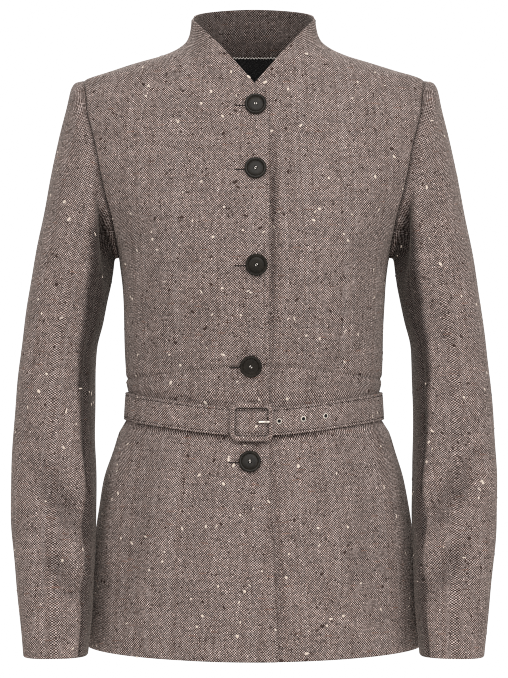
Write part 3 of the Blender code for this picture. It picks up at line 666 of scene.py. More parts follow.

# %% [markdown]
# ## Creases
# Worn cloth isn't smooth. The photograph shows slanting folds below the elbows, drag lines that run
# from the armholes, a soft hollow above the belt and long soft flutes in the skirt. The left front also
# dips beside the edge that laps over it, which makes that edge show. A cloth simulation would put folds
# where it likes, so each one is listed: a line seen from the front or the back, a depth, and a
# width. The cloth sinks along the line and swells a little beside it. Deep in a crease, along a seam
# and between arm and body little light arrives, and a second function says how little, for the tweed
# to draw.

# %% Creases
FRONT, BACK = -1, 1
CREASES = {  # x and z of the line's start and of its end, depth and width, in mm
    ("sleeve_right", FRONT): (
        (-230, -448, -180, -526, 10.5, 13.5), (-219, -540, -180, -592, 9, 12),
        (-157, -165, -152, -262, 12, 8.5), (-248, -405, -205, -440, 2.2, 10),
        (-178, -355, -222, -405, 2.2, 9), (-168, -250, -206, -330, 2.4, 10),
        (-192, -120, -181, -235, 2, 9),
    ),
    ("sleeve_left", FRONT): (
        (232, -442, 180, -520, 10.2, 13.5), (220, -535, 180, -588, 9.2, 12),
        (158, -166, 153, -264, 12, 8.5), (247, -392, 207, -431, 2, 10),
        (176, -345, 224, -398, 2.4, 9), (169, -256, 209, -338, 2.2, 10),
        (193, -118, 182, -240, 2, 9),
    ),
    ("front_left", FRONT): (
        (18.5, -105, 18.5, -330, 4.5, 5), (19.5, -132, 19.5, -196, 3, 5),
        (20.5, -440, 26.5, -640, 3.5, 5),
    ),
    ("sleeve_right", BACK): (
        (-245, -400, -190, -440, 3, 10), (-250, -470, -195, -490, 2.4, 9),
        (-180, -220, -215, -310, 2.6, 10),
    ),
    ("sleeve_left", BACK): (
        (247, -408, 188, -446, 3, 10), (249, -478, 197, -500, 2.2, 9),
        (182, -215, 214, -300, 2.6, 10),
    ),
    ("body", FRONT): (
        (-150, -150, -110, -235, 1.8, 11), (152, -148, 114, -230, 1.8, 11),
        (-130, -330, -70, -352, 1.4, 8), (132, -326, 66, -350, 1.4, 8),
        (-112, -420, -137, -600, 3, 15), (104, -425, 128, -590, 2.4, 15),
        (-55, -430, -68, -560, 1.4, 13), (68, -440, 78, -570, 1.2, 13),
    ),
    ("body", BACK): (
        (-110, -330, -20, -350, 2.6, 10), (115, -325, 30, -347, 2.4, 10),
        (-120, -150, -95, -260, 2.4, 13), (122, -155, 98, -265, 2.2, 13),
        (-85, -415, -105, -600, 3, 15), (90, -420, 112, -610, 2.8, 15),
        (-30, -30, -50, -70, 1.2, 8), (32, -32, 52, -75, 1.2, 8),
    ),
}
print("creases placed:", sum(len(rows) for rows in CREASES.values()))

# %% How deep the cloth sinks
SWELL, SWELL_AT = 0.40, 1.9  # beside a crease, in widths
TAPER_IN, TAPER_OUT, FACES = (-0.2, 0.3), (0.65, 1.2), (0.05, 0.55)
PINCH, PINCH_WIDTH, PINCH_SWELL = 0.0005, 0.0055, 2.2
UNEVEN, RIPPLES = 0.00045, ((61, 0, 23, 1.3), (0, -44, 37, 0.4), (29, 0, 83, -2.1))
STILL = 0.014


def bell(off):
    return np.exp(-(off**2))


def to_left(points):
    """Points of either side brought to the wearer's left."""
    return points * [0, 1, 1] + np.abs(points) * [1, 0, 0]


def off_armhole(points):
    """How far points lie from the nearer armhole seam."""
    return length(to_left(points)[..., None, :] - sleeve_points[0]).min(axis=-1)


def crease_depth(piece, points, normals):
    """How deep the cloth lies under its smooth form at each point."""
    depth = np.zeros(points.shape[:-1])
    worn = [(face, rows) for (name, face), rows in CREASES.items() if name in piece.split()]
    for face, line in ((face, line) for face, rows in worn for line in rows):
        start, end, (sunk, width) = np.round(np.array(line) / 1000, 5).reshape(3, 2)
        span = np.linalg.norm(end - start)
        along = (end - start) / span
        away = points[..., [0, 2]] - start
        t = away @ along / span
        off = (away[..., 0] * along[1] - away[..., 1] * along[0]) / width
        taper = smoothstep(*TAPER_IN, t) * (1 - smoothstep(*TAPER_OUT, t))
        faces = smoothstep(*FACES, face * normals[..., 1])
        depth += sunk * taper * faces * (bell(off) - SWELL * bell(np.abs(off) - SWELL_AT))
    x, y, z = np.moveaxis(points, -1, 0)
    if "body" in piece:
        off_belt = np.abs(z - belt_line(np.arctan2(x, -y))) - BELT_WIDTH / 2
        depth += PINCH * bell(off_belt / PINCH_WIDTH)
        depth -= PINCH / 2 * bell((off_belt - PINCH_SWELL * PINCH_WIDTH) / PINCH_WIDTH)
    ripple = sum(np.sin(a * x + b * y + c * z + shift) for a, b, c, shift in RIPPLES)
    depth += UNEVEN / 2 * ripple
    return depth * smoothstep(0, STILL, off_armhole(points))


deepest = crease_depth("sleeve_left", sleeve_points, sleeve_normals).max()
print("deepest crease of the left sleeve in mm:", round(1000 * deepest, 1))

# %% How dark the hollows are
SHOULDER_REACH, FLUSH = 0.045, 0.75
HOLLOW_DEPTH, SEAM_LINE, SEAM_SHADE = 0.0080, 0.0013, 0.0090
CREASE_DARK, SEAM_DARK, ARMHOLE_DARK, HEAD_DARK = 0.40, 0.22, 0.9, 0.20
BAND_HEIGHTS = (-0.58, -0.45, -0.30, -0.25, -0.20, -0.12)
BAND_SHARES = (0.75, 0.90, 1.0, 1.0, 0.95, 0.0)
BAND_EDGES = (0.70, 0.60, 0.32, 0.32, 0.32, 0.32)
BAND_FULL, BAND_BEHIND = 0.45, (-0.2, 0.4)


def near_shoulder(points):
    """From 1 at the top of the armhole seam, where it lies nearly flush, to 0 some way off."""
    top = sleeve_points[0][sleeve_points[0][:, 2].argmax()]
    return 1 - smoothstep(0, SHOULDER_REACH, length(to_left(points) - top))


# painted shade: this share darkens the tweed in creases, along seams and the armhole, near the sleeve
# heads and on the sleeves beside the body
def hollow_share(piece, points, normals, depth, seam):
    """How much of the light a hollow keeps off the cloth: in creases, seams and beside the body."""
    off_seam = off_armhole(points)
    armhole_line = bell(off_seam / SEAM_LINE) * (1 - FLUSH * near_shoulder(points))
    shut = CREASE_DARK * np.clip(depth / HOLLOW_DEPTH, 0, 1)
    shut = shut + SEAM_DARK * seam + ARMHOLE_DARK * armhole_line
    if piece.startswith("sleeve"):
        rows = BAND_EDGES, BAND_SHARES
        edge, share = (np.interp(points[..., 2], BAND_HEIGHTS, row) for row in rows)
        inward = smoothstep(edge, BAND_FULL + edge / 2, -np.sign(points[..., 0]) * normals[..., 0])
        shut = shut + share * inward * (1 - smoothstep(*BAND_BEHIND, normals[..., 1]))
        shut = shut + HEAD_DARK * bell(off_seam / SEAM_SHADE)
    return np.clip(shut, 0, 1)


print("shade beside the body is given at", len(BAND_HEIGHTS), "heights")

# %% [markdown]
# ## From a grid to cloth
# A panel becomes a closed wall: an outer face of tweed, an inner face of lining or of tweed where the
# jacket is faced, and a narrow rim. Extra lines run close to every border, because there the cloth
# rolls into a seam or bends round a finished edge, and that is what tells the eye how it is sewn.
# The outer face is also unwrapped flat, as the pattern piece that was cut, to give the weave its grain.
# Left and right pieces share one cut, turned over, as on the cutting table.

# %% Lines close to the borders
BORDER_LINES = np.array([0.0, 0.10, 0.28, 0.58])
BORDERS = ("bottom", "top", "left", "right")


def with_border_lines(grid):
    for axis in (0, 1):
        last = grid.shape[axis] - 1
        places = np.concatenate([BORDER_LINES, np.arange(1, last), last - BORDER_LINES[::-1]])
        grid = between(grid, places, axis)
    return grid


def from_borders(points):
    """How far each point lies from the four borders, along the cloth."""
    up = length(np.diff(points, axis=0, prepend=points[:1])).cumsum(axis=0)
    across = length(np.diff(points, axis=1, prepend=points[:, :1])).cumsum(axis=1)
    return dict(zip(BORDERS, (up, up[-1:] - up, across, across[:, -1:] - across)))


def cells_of(index):
    corners = index[:-1, :-1], index[:-1, 1:], index[1:, 1:], index[1:, :-1]
    return np.stack(corners, axis=-1).reshape(-1, 4)


print("extra lines at each border:", len(BORDER_LINES) - 1)

# %% The flat cut
FLATTENING, FLAT_STEP, FLAT_FEWEST = 24, 3, 4


def cut_flat(points):
    """The grid unwrapped flat, at no special size."""
    index = np.arange(points.shape[0] * points.shape[1]).reshape(points.shape[:2])
    mesh = bpy.data.meshes.new("cut")
    mesh.from_pydata(points.reshape(-1, 3).tolist(), [], cells_of(index).tolist())
    mesh.uv_layers.new(name="cut")
    sheet = finished("cut", mesh, [])
    bpy.context.view_layer.objects.active = sheet
    bpy.ops.object.mode_set(mode="EDIT")
    bpy.ops.mesh.select_all(action="SELECT")
    bpy.ops.uv.unwrap(method="MINIMUM_STRETCH", margin=0, iterations=FLATTENING)
    bpy.ops.object.mode_set(mode="OBJECT")
    corners, places = np.empty(len(mesh.loops), int), np.empty(2 * len(mesh.loops))
    mesh.loops.foreach_get("vertex_index", corners)
    mesh.uv_layers["cut"].data.foreach_get("uv", places)
    flat = np.empty((index.size, 2))
    flat[corners] = places.reshape(-1, 2)
    bpy.data.objects.remove(sheet)
    bpy.data.meshes.remove(mesh)
    return flat.reshape(*points.shape[:2], 2)


def quad_area(grid):
    """The area of each cell of a grid of points, flat or in space."""
    if grid.shape[-1] == 2:
        grid = np.concatenate([grid, grid[..., :1] * 0], axis=-1)
    return length(np.cross(grid[1:, 1:] - grid[:-1, :-1], grid[1:, :-1] - grid[:-1, 1:])) / 2


def cut_pattern(points):
    """The flat cut at its real size, turned so that its grain runs up the piece. It is found on a
    coarser grid and shared out from there."""
    counts = points.shape[:2]
    coarse = [np.unique(np.linspace(0, n - 1, max(n // FLAT_STEP, FLAT_FEWEST)).round()) for n in counts]
    thin = points[np.ix_(*(lines.astype(int) for lines in coarse))]
    flat = cut_flat(thin)
    flat = flat * math.sqrt(quad_area(thin).sum() / quad_area(flat).sum())
    spots = np.concatenate([flat.reshape(-1, 2), np.ones((flat.size // 2, 1))], axis=1)
    rise = np.linalg.lstsq(spots, thin[..., 2].reshape(-1), rcond=None)[0][:2]
    turn = math.pi / 2 - math.atan2(rise[1], rise[0])
    flat = flat @ np.array([[math.cos(turn), math.sin(turn)], [-math.sin(turn), math.cos(turn)]])
    for axis, lines in enumerate(coarse):
        flat = between(flat, np.interp(np.arange(counts[axis]), lines, np.arange(len(lines))), axis)
    return flat - flat.reshape(-1, 2).min(axis=0)


print("lines of a grid for each one of its flat cut:", FLAT_STEP)

# %% A closed wall
WALL, RIM_MAP, CLOTH_SHARP = 0.0020, 0.7, 62


def wall(name, outer, inner, normals, flat, faced, materials, shut=None):
    """A closed wall between two grids. faced marks the cells whose inside shows tweed."""
    size = outer.shape[0] * outer.shape[1]
    index = np.arange(size).reshape(outer.shape[:2])
    front = cells_of(index)
    corner = outer.reshape(-1, 3)[front]
    facing = np.cross(corner[:, 1] - corner[:, 0], corner[:, 3] - corner[:, 0])
    border = np.concatenate([index[0, :-1], index[:-1, -1], index[-1, :0:-1], index[:0:-1, 0]])
    after = np.roll(border, -1)
    rim = np.stack([after, border, border + size, after + size], axis=-1)
    faces = np.concatenate([front, front[:, ::-1] + size, rim])
    if np.sum(facing * normals.reshape(-1, 3)[front[:, 0]]) < 0:
        faces = faces[:, ::-1]
    mesh = bpy.data.meshes.new(name)
    points = np.concatenate([outer.reshape(-1, 3), inner.reshape(-1, 3)])
    mesh.from_pydata(points.tolist(), [], faces.tolist())
    spots = np.concatenate([flat.reshape(-1, 2)] * 2)[faces]
    rim_faces = faces[2 * len(front) :]
    spots[2 * len(front) :] += np.where(rim_faces >= size, WALL * RIM_MAP, 0)[..., None]
    mesh.uv_layers.new(name="cut").data.foreach_set("uv", spots.reshape(-1))
    if shut is not None:
        hollow = np.concatenate([shut.reshape(-1), np.zeros(size)])
        mesh.attributes.new("hollow", "FLOAT", "POINT").data.foreach_set("value", hollow)
    kinds = np.zeros(len(faces), int)
    kinds[len(front) : 2 * len(front)] = np.where(faced.reshape(-1), 0, len(materials) - 1)
    mesh.polygons.foreach_set("material_index", kinds)
    return finished(name, mesh, materials, CLOTH_SHARP), faces[: len(front)]


print("thickness of the cloth in mm:", 1000 * WALL)

# %% A panel of cloth
SEAM_DEPTH, SEAM_WIDTH = 0.0016, 0.0025
EDGE_ROUND, EDGE_WIDTH = 0.0007, 0.0016
CORNER_STILL, CORNER_SIDE = 0.010, 0.002
CUT_STEP = np.array([0.737, 0.419])  # from one piece's cut to the next, so that no two weaves are alike
back_patch = back_bodice_patch()
back_points, back_normals = on_torso(back_patch)
COLLAR_CORNER = back_points[-1, FRONT_COLUMNS]
outer_sheets, flat_sizes, cuts = [], {}, {}


def seam_share(points):
    """How far a border is a seam: not along the collar's edge, and softly near the collar's corner."""
    left = to_left(points)
    share = smoothstep(0, CORNER_STILL, length(left - COLLAR_CORNER))
    behind_neck = smoothstep(COLLAR_CORNER[0] - CORNER_SIDE, COLLAR_CORNER[0], left[..., 0])
    share = share * np.where(points[..., 2] > 0, behind_neck, 1)
    return share * (1 - FLUSH * near_shoulder(points))


def cloth(name, body, points, normals, edges, facing, thickness=WALL, materials=(TWEED, LINING)):
    """One panel. edges names the borders that are finished edges; the others are seams. facing gives
    how far the tweed is turned in behind a border."""
    cut = name.replace("_right", "").replace("_left", "")
    if cut in cuts:
        flat = cuts[cut] * [-1, 1] + [cuts[cut][..., 0].max(), 0]
    else:
        flat = cuts[cut] = cut_pattern(points)
    both = with_border_lines(np.concatenate([points, normals, flat], axis=-1))
    points, normals, flat = both[..., :3], unit(both[..., 3:6]), both[..., 6:]
    away = from_borders(points)
    depth = crease_depth(body, points, normals)
    tuck, lift, seam = np.zeros((3, *depth.shape))
    sewn = seam_share(points)
    for border in BORDERS:
        if border in edges:
            bend = np.clip(1 - away[border] / EDGE_WIDTH, 0, 1)
            rounding = EDGE_ROUND * (1 - np.sqrt(1 - bend**2))
            tuck, lift = np.maximum(tuck, rounding), np.maximum(lift, rounding)
        else:
            tuck = np.maximum(tuck, sewn * SEAM_DEPTH * bell(away[border] / SEAM_WIDTH))
            seam = np.maximum(seam, sewn * bell(away[border] / SEAM_LINE))
    base = points - normals * depth[..., None]
    outer = base - normals * tuck[..., None]
    inner = base - normals * (thickness - lift)[..., None]
    near = np.zeros(depth.shape, bool)
    for border, reach in facing.items():
        near |= away[border] < reach
    shut = hollow_share(body, points, normals, depth, seam)
    spots = flat + CUT_STEP * len(flat_sizes)
    piece, faces = wall(name, outer, inner, normals, spots, near[:-1, :-1], materials, shut)
    if body != "none":
        outer_sheets.append((outer.reshape(-1, 3), faces))
    flat_sizes[name] = (*map(float, flat.reshape(-1, 2).max(axis=0)), float(quad_area(points).sum()))
    return piece


def mirrored(vectors, side):
    return vectors * np.array([side, 1, 1])


print("the collar's corner in mm:", (1000 * COLLAR_CORNER).round(1))

# %% [markdown]
# ## The fronts
# The wearer's right front lies over the left one, so it stands off by a little more than one cloth
# along the middle. Both fronts rise to the stand collar in one piece with it, as the photograph shows
# no collar seam. The front and neck edges are turned in, so tweed shows inside along them.

# %% Fronts
RIGHT, LEFT = -1, 1
SIDES = (("right", RIGHT), ("left", LEFT))
LAP_LIFT, LAP_FULL, LAP_FADE = WALL + 0.0011, 0.0340, 0.0800
FACED, TURNED_UP = 0.060, 0.036
pieces = {}


def lap_lift(x):
    return LAP_LIFT * (1 - smoothstep(LAP_FULL, LAP_FADE, x))


for word, side in SIDES:
    for kind, patch, facing in (
        ("bodice", front_bodice_patch(), {"left": FACED}),
        ("skirt", front_skirt_patch(), {"left": FACED, "bottom": TURNED_UP}),
    ):
        points, normals = on_torso(patch)
        if side == RIGHT:
            points = points + normals * lap_lift(points[..., :1])
        name, both = f"front_{kind}_{word}", (mirrored(points, side), mirrored(normals, side))
        pieces[name] = cloth(name + "_cloth", f"body front_{word}", *both, tuple(facing), facing)
print("front pieces:", len(pieces))

# %% [markdown]
# ## The back
# The back isn't seen in the photograph. It follows the usual cut: two halves with a seam down the
# middle, a little fullness over the shoulder blades, and soft folds where the belt gathers the waist.

# %% Back halves
COLLAR_TURNED = 0.004
for kind, patch, edges, facing in (
    ("bodice", back_patch, (), {"top": COLLAR_TURNED}),
    ("skirt", back_skirt_patch(), ("bottom",), {"bottom": TURNED_UP}),
):
    points, normals = on_torso(patch[:, : patch.shape[1] // 2 + 1])
    for word, side in SIDES:
        name, both = f"back_{kind}_{word}", (mirrored(points, side), mirrored(normals, side))
        pieces[name] = cloth(name + "_cloth", "body", *both, edges, facing)
print("body pieces:", len(pieces))

# %% [markdown]
# ## Inside the neck
# Behind the neck the collar is faced with the same tweed, drawn darker as painted shade, and the dark
# lining starts below it. Both are thin layers on the inside of the back, made from the back's own points
# moved in.

# %% Facing and lining
LAYER_GAP, FACING_WALL, LINING_WALL = 0.0004, 0.0012, 0.0010
FACING_ROWS, LINING_ROWS, LINING_INSET = 2 * FINER, 4 * FINER, 2 * FINER
inside = back_points - back_normals * (WALL + LAYER_GAP)
foot = len(inside) - 1 - FACING_ROWS
collar = slice(FRONT_COLUMNS, FRONT_COLUMNS + COLLAR_COLUMNS + 1)
yoke = slice(collar.start + LINING_INSET, collar.stop - LINING_INSET)
for name, rows, columns, thickness, material in (
    ("collar_facing", slice(foot, None), collar, FACING_WALL, FACING_TWEED),
    ("back_lining", slice(foot - LINING_ROWS, foot + 1), yoke, LINING_WALL, LINING),
):
    both = inside[rows, columns], back_normals[rows, columns]
    pieces[name] = cloth(name + "_cloth", "none", *both, BORDERS, {}, thickness, (material,))
print("inside the neck:", [round(v * 1000) for v in flat_sizes["collar_facing_cloth"][:2]], "mm facing")

# %% [markdown]
# ## Upper and under sleeves
# The two pieces of each sleeve meet in seams at the front and the back of the arm. The cuffs are
# finished edges with a turned-up band of tweed inside, and no buttons show on them. At the head a seam
# allowance of 5 mm runs on into the body, as in sewing, so that no gap shows along the armhole.

# %% Sleeves
ALLOWANCE = 0.0050
seam_way = unit(armhole_normals + sleeve_normals[0])
sunk = sleeve_points.copy()
sunk[0] -= seam_way * SEAM_DEPTH * (1 - FLUSH * near_shoulder(sunk[0]))[:, None]
sunk = np.concatenate([sunk[:1] - armhole_normals * ALLOWANCE, sunk])
sunk_normals = np.concatenate([sleeve_normals[:1], sleeve_normals])
under = list(range(FRONT_SEAM_POINT, BACK_SEAM_POINT + 1))
upper = list(range(BACK_SEAM_POINT, sleeve_points.shape[1] - 1)) + list(range(FRONT_SEAM_POINT + 1))
for word, side in SIDES:
    for kind, columns in (("upper", upper), ("under", under)):
        name = f"{kind}_sleeve_{word}"
        both = mirrored(sunk[:, columns], side), mirrored(sunk_normals[:, columns], side)
        pieces[name] = cloth(name + "_cloth", f"sleeve_{word}", *both, ("top",), {"top": TURNED_UP})
print("cloth pieces:", len(pieces))

# %% [markdown]
# ## The belt
# The belt is one doubled strip of the same tweed, stitched close to both edges. It starts under the
# buckle, runs once round the waist, passes through the buckle and lies over its own beginning as far
# as the wearer's right side. It is laid straight on the body's own surface, with a shallow groove for
# each row of stitches, so the groove can't drift off the strap.

# %% Belt strap
BELT_WALL, BELT_CLEAR = 0.0024, 0.0005
BELT_START, BELT_TIP = math.radians(-3), math.radians(-436)
BELT_CLIMB = math.radians(-342), math.radians(-354)
BELT_TIP_LENGTH, BELT_TIP_SHARE, BELT_COLUMNS = 0.0180, 0.35, 440
STITCH_INSET, GROOVE_DEPTH, GROOVE_WIDTH = 0.0030, 0.0005, 0.0009
ROLL, ROLL_WIDTH = 0.0009, 0.0010
HALF_ROWS = np.array([0.0, 0.15, 0.45, 0.9, 1.6, 2.3, 2.65, 3.0, 3.35, 3.8, 5.5, 8.0, 11.0]) / 1000


def belt_place(angle, across, out):
    """A point on the belt: across is metres above its middle, out is off the cloth."""
    angle, across, out = np.broadcast_arrays(angle, across, out)
    middle = belt_line(angle)
    upper, lower = (torso(angle, middle + half) for half in (BELT_WIDTH / 2, -BELT_WIDTH / 2))
    base = lower + (upper - lower) * (across / BELT_WIDTH + 0.5)[..., None]
    lift = lap_lift(np.abs(base[..., :1])) + BELT_CLEAR
    return base + unit(torso_normal(angle, middle) * [1, 1, 0]) * (lift + out[..., None])


def strap_place(turn, across, out):
    """A point on the strap at its own turn, which counts on past a full round."""
    layer = (BELT_WALL + LAYER_GAP) * smoothstep(*BELT_CLIMB, turn)
    return belt_place(np.mod(turn + math.pi, 2 * math.pi) - math.pi, across, layer + out)


def run_along(points):
    return np.concatenate([[0], length(np.diff(points, axis=0)).cumsum()])


turn = np.linspace(BELT_START, BELT_TIP, BELT_COLUMNS + 1)
run = run_along(strap_place(turn, 0, 0))
to_tip = np.minimum((run[-1] - run) / BELT_TIP_LENGTH, 1)
width = BELT_WIDTH * (BELT_TIP_SHARE + (1 - BELT_TIP_SHARE) * to_tip)
from_edge = np.concatenate([HALF_ROWS, [BELT_WIDTH / 2], HALF_ROWS[::-1]])
sign = np.sign(np.arange(len(from_edge)) - len(HALF_ROWS))
across = (sign * (BELT_WIDTH / 2 - from_edge))[:, None] * (width / BELT_WIDTH)[None]
bend = np.clip(1 - from_edge / ROLL_WIDTH, 0, 1)
rounding = (ROLL * (1 - np.sqrt(1 - bend**2)))[:, None]
groove = GROOVE_DEPTH * bell((from_edge - STITCH_INSET) / GROOVE_WIDTH)[:, None]
outer, inner = (strap_place(turn, across, out) for out in (BELT_WALL - rounding - groove, rounding))
flat = pair(run[None], across + BELT_WIDTH / 2)
faced = np.ones((len(across) - 1, BELT_COLUMNS), bool)
pieces["belt_strap"], belt_faces = wall(
    "belt_strap_cloth", outer, inner, outer - inner, flat, faced, (TWEED,)
)
outer_sheets.append((outer.reshape(-1, 3), belt_faces))
flat_sizes["belt_strap_cloth"] = (float(run[-1]), BELT_WIDTH, float(quad_area(flat).sum()))
print("belt length in mm:", round(run[-1] * 1000))

# %% [markdown]
# ## The buckle
# The buckle is a square frame with rounded corners, covered with the tweed, so it shows mostly by
# the shadow along its inside, which its hollow attribute draws. It is swept along its path like a tube:
# rings of points round the bar, with extra rings on the straight sides because the frame follows the
# curve of the waist. The prong is a thinner tube of nickel.

# %% A tube through rings
BUCKLE_X, BUCKLE_SPREAD, TUBE_SHARP = -0.0025, 1.075, 50


def buckle_place(x, across, out):
    angle = angle_at_x((BUCKLE_X + x) / BUCKLE_SPREAD, belt_line(0.0))
    return belt_place(angle, across, 2 * (BELT_WALL + LAYER_GAP) + out)


def tube(name, rings, closed, material, shut=None):
    """A tube through rings of points, closed on itself or capped, with a flat map in metres."""
    rings = np.array(rings)
    count, sides = rings.shape[:2]
    index = np.arange(count * sides).reshape(count, sides)
    start, after = (index, np.roll(index, -1, axis=0)) if closed else (index[:-1], index[1:])
    quads = np.stack([start, np.roll(start, -1, 1), np.roll(after, -1, 1), after], axis=-1)
    run = np.append(0, length(np.diff(rings[:, 0], axis=0, append=rings[:1, 0])).cumsum())
    girth = length(rings[0] - np.roll(rings[0], 1, axis=0)).sum()
    ring, side = np.indices(start.shape)
    along = run[np.stack([ring, ring, ring + 1, ring + 1], axis=-1)]
    around = girth * (np.stack([side, side + 1, side + 1, side], axis=-1) / sides)
    faces, spots = quads.reshape(-1, 4).tolist(), pair(along, around).reshape(-1, 2)
    if not closed:
        caps = np.stack([index[0, ::-1], index[-1]])
        side = np.where(caps % sides, caps % sides, sides)
        faces += caps.tolist()
        spots = np.concatenate([spots, pair(run[caps // sides], girth * (side / sides)).reshape(-1, 2)])
    mesh = bpy.data.meshes.new(name)
    mesh.from_pydata(rings.reshape(-1, 3).tolist(), [], faces)
    if shut is not None:
        hollow = mesh.attributes.new("hollow", "FLOAT", "POINT")
        hollow.data.foreach_set("value", np.tile(shut, count))
    mesh.uv_layers.new(name="cut").data.foreach_set("uv", spots.reshape(-1))
    work = bmesh.new()
    work.from_mesh(mesh)
    bmesh.ops.recalc_face_normals(work, faces=work.faces)
    work.to_mesh(mesh)
    work.free()
    return finished(name, mesh, [material], TUBE_SHARP)


print("middle of the buckle in mm:", (1000 * buckle_place(0, 0, 0)).round(1))

# %% Buckle frame
BUCKLE_WIDTH, BUCKLE_HEIGHT = 0.0465, 0.0405
BUCKLE_BAR, BUCKLE_WALL, BUCKLE_CORNER = 0.0060, 0.0034, 0.0060
BAR_SIDES, CORNER_BENDS, STRAIGHT_RINGS, BAR_SQUARE = 20, 9, 12, 0.8
INNER_DARK, OUTER_DARK = (0.95, 0.55, 0.95), (0.4, 0.8, 1.0)


def squarish(wave):
    return np.sign(wave) * np.abs(wave) ** BAR_SQUARE


half_x, half_z = (BUCKLE_WIDTH - BUCKLE_BAR) / 2, (BUCKLE_HEIGHT - BUCKLE_BAR) / 2
CORNERS = np.array([(1, 1), (-1, 1), (-1, -1), (1, -1)])
centres = CORNERS * [half_x - BUCKLE_CORNER, half_z - BUCKLE_CORNER]
path = []
for corner, centre in enumerate(centres):
    for bow in np.linspace(corner, corner + 1, CORNER_BENDS) * SIDE:
        away = np.array([math.cos(bow), math.sin(bow)])
        path.append((centre + BUCKLE_CORNER * away, away))
    target = centres[(corner + 1) % len(centres)] + BUCKLE_CORNER * away
    for step in np.linspace(0, 1, STRAIGHT_RINGS)[1:-1]:
        path.append(((centre + BUCKLE_CORNER * away) * (1 - step) + target * step, away))
around = np.arange(BAR_SIDES) * 2 * math.pi / BAR_SIDES
wide = BUCKLE_BAR / 2 * squarish(np.cos(around))
out = BUCKLE_WALL / 2 * (1 + squarish(np.sin(around)))
rings = [buckle_place(spot[0] + away[0] * wide, spot[1] + away[1] * wide, out) for spot, away in path]
# painted shadow: the frame's cover is darkened along the inside of its window, and less along its
# outside
shut = sum(
    dark * smoothstep(start, end, facing * np.cos(around))
    for (dark, start, end), facing in ((INNER_DARK, -1), (OUTER_DARK, 1))
)
pieces["buckle_frame"] = tube("buckle_frame_cover", rings, True, TWEED, shut)
print("buckle rings:", len(rings))

# %% Prong
PRONG_RADIUS, PRONG_FROM, PRONG_TO, PRONG_BEND = 0.0013, 0.0072, 0.0188, 0.0040
PRONG_RINGS, PRONG_ROOT, PRONG_TIP = 24, 0.0008, 0.0010
PRONG_CLEAR, PRONG_BLUNT, PRONG_TAPER = 0.0003, 0.55, 0.25

low, high = PRONG_RADIUS + LAYER_GAP, BUCKLE_WALL + PRONG_CLEAR + PRONG_RADIUS
bar_edge = BUCKLE_WIDTH / 2 - BUCKLE_BAR
rings = []
for x in np.linspace(PRONG_FROM, PRONG_TO, PRONG_RINGS):
    out = low + (high - low) * smoothstep(bar_edge - PRONG_BEND, bar_edge, x)
    end = min((x - PRONG_FROM) / PRONG_ROOT, (PRONG_TO - x) / PRONG_TIP, 1)
    radius = PRONG_RADIUS * (PRONG_BLUNT + (1 - PRONG_BLUNT) * math.sqrt(max(1 - (1 - end) ** 2, 0)))
    radius *= 1 - PRONG_TAPER * (x - PRONG_FROM) / (PRONG_TO - PRONG_FROM)
    rings.append(buckle_place(x, radius * np.cos(around), out + radius * np.sin(around)))
pieces["buckle_prong"] = tube("buckle_prong_nickel", rings, False, NICKEL)
print("prong rings:", len(rings))

# %% [markdown]
# ## Buttons
# The five buttons are turned from dark horn, with a rounded rim, a groove inside it, a shallow dish and
# four holes. One profile is spun round for the body, a boolean drills the holes, and copies are seated
# square to the cloth at each place along the front edge.

# %% One button
BUTTON_SIDES, SAME_POINT = 64, 1e-6
HOLE_RADIUS, HOLE_OFFSET, HOLE_SIDES, DRILL = 0.0007, 0.00125, 14, 0.02
BUTTON_PROFILE = (
    (0.0, 0.0), (0.0098, 0.0), (0.0110, 0.0005), (0.0115, 0.0014), (0.0115, 0.0024),
    (0.0111, 0.0033), (0.0104, 0.0038), (0.0094, 0.0037), (0.0086, 0.0029), (0.0080, 0.0021),
    (0.0073, 0.0024), (0.0050, 0.0026), (0.0, 0.0025),
)


def as_made(piece):
    """The plain mesh that a piece's modifiers make of it."""
    ready = piece.evaluated_get(bpy.context.evaluated_depsgraph_get())
    return bpy.data.meshes.new_from_object(ready)


def button_blank():
    """The turned and drilled button, lying flat at the origin with its face up."""
    work = bmesh.new()
    line = [work.verts.new((radius, 0, up)) for radius, up in BUTTON_PROFILE]
    edges = [work.edges.new(two) for two in zip(line, line[1:])]
    bmesh.ops.spin(
        work, geom=line + edges, axis=(0, 0, 1), cent=(0, 0, 0), angle=2 * math.pi,
        steps=BUTTON_SIDES, use_merge=True,
    )
    bmesh.ops.remove_doubles(work, verts=work.verts, dist=SAME_POINT)
    bmesh.ops.recalc_face_normals(work, faces=work.faces)
    body = finished("button_blank", mesh_of("button_blank", work), [])
    work = bmesh.new()
    size = {"segments": HOLE_SIDES, "radius1": HOLE_RADIUS, "radius2": HOLE_RADIUS, "depth": DRILL}
    for x in (-HOLE_OFFSET, HOLE_OFFSET):
        for y in (-HOLE_OFFSET, HOLE_OFFSET):
            made = bmesh.ops.create_cone(work, cap_ends=True, **size)
            bmesh.ops.translate(work, verts=made["verts"], vec=(x, y, 0))
    drills = finished("drills", mesh_of("drills", work), [])
    cut = body.modifiers.new("holes", "BOOLEAN")
    cut.object, cut.operation, cut.solver = drills, "DIFFERENCE", "EXACT"
    drilled = as_made(body)
    for part in (body, drills):
        bpy.data.objects.remove(part)
    return drilled


blank = button_blank()
print("faces of a button:", len(blank.polygons))

# %% Buttons on the front
Button = namedtuple("Button", "x height turn")
BUTTONS = (
    Button(0.0017, -0.0723, 90), Button(0.0016, -0.1404, 150), Button(0.0027, -0.2406, 130),
    Button(-0.0032, -0.3455, 45), Button(-0.0042, -0.4461, 5),
)
BUTTON_RADIUS, BUTTON_SHARP = 0.0115, 35


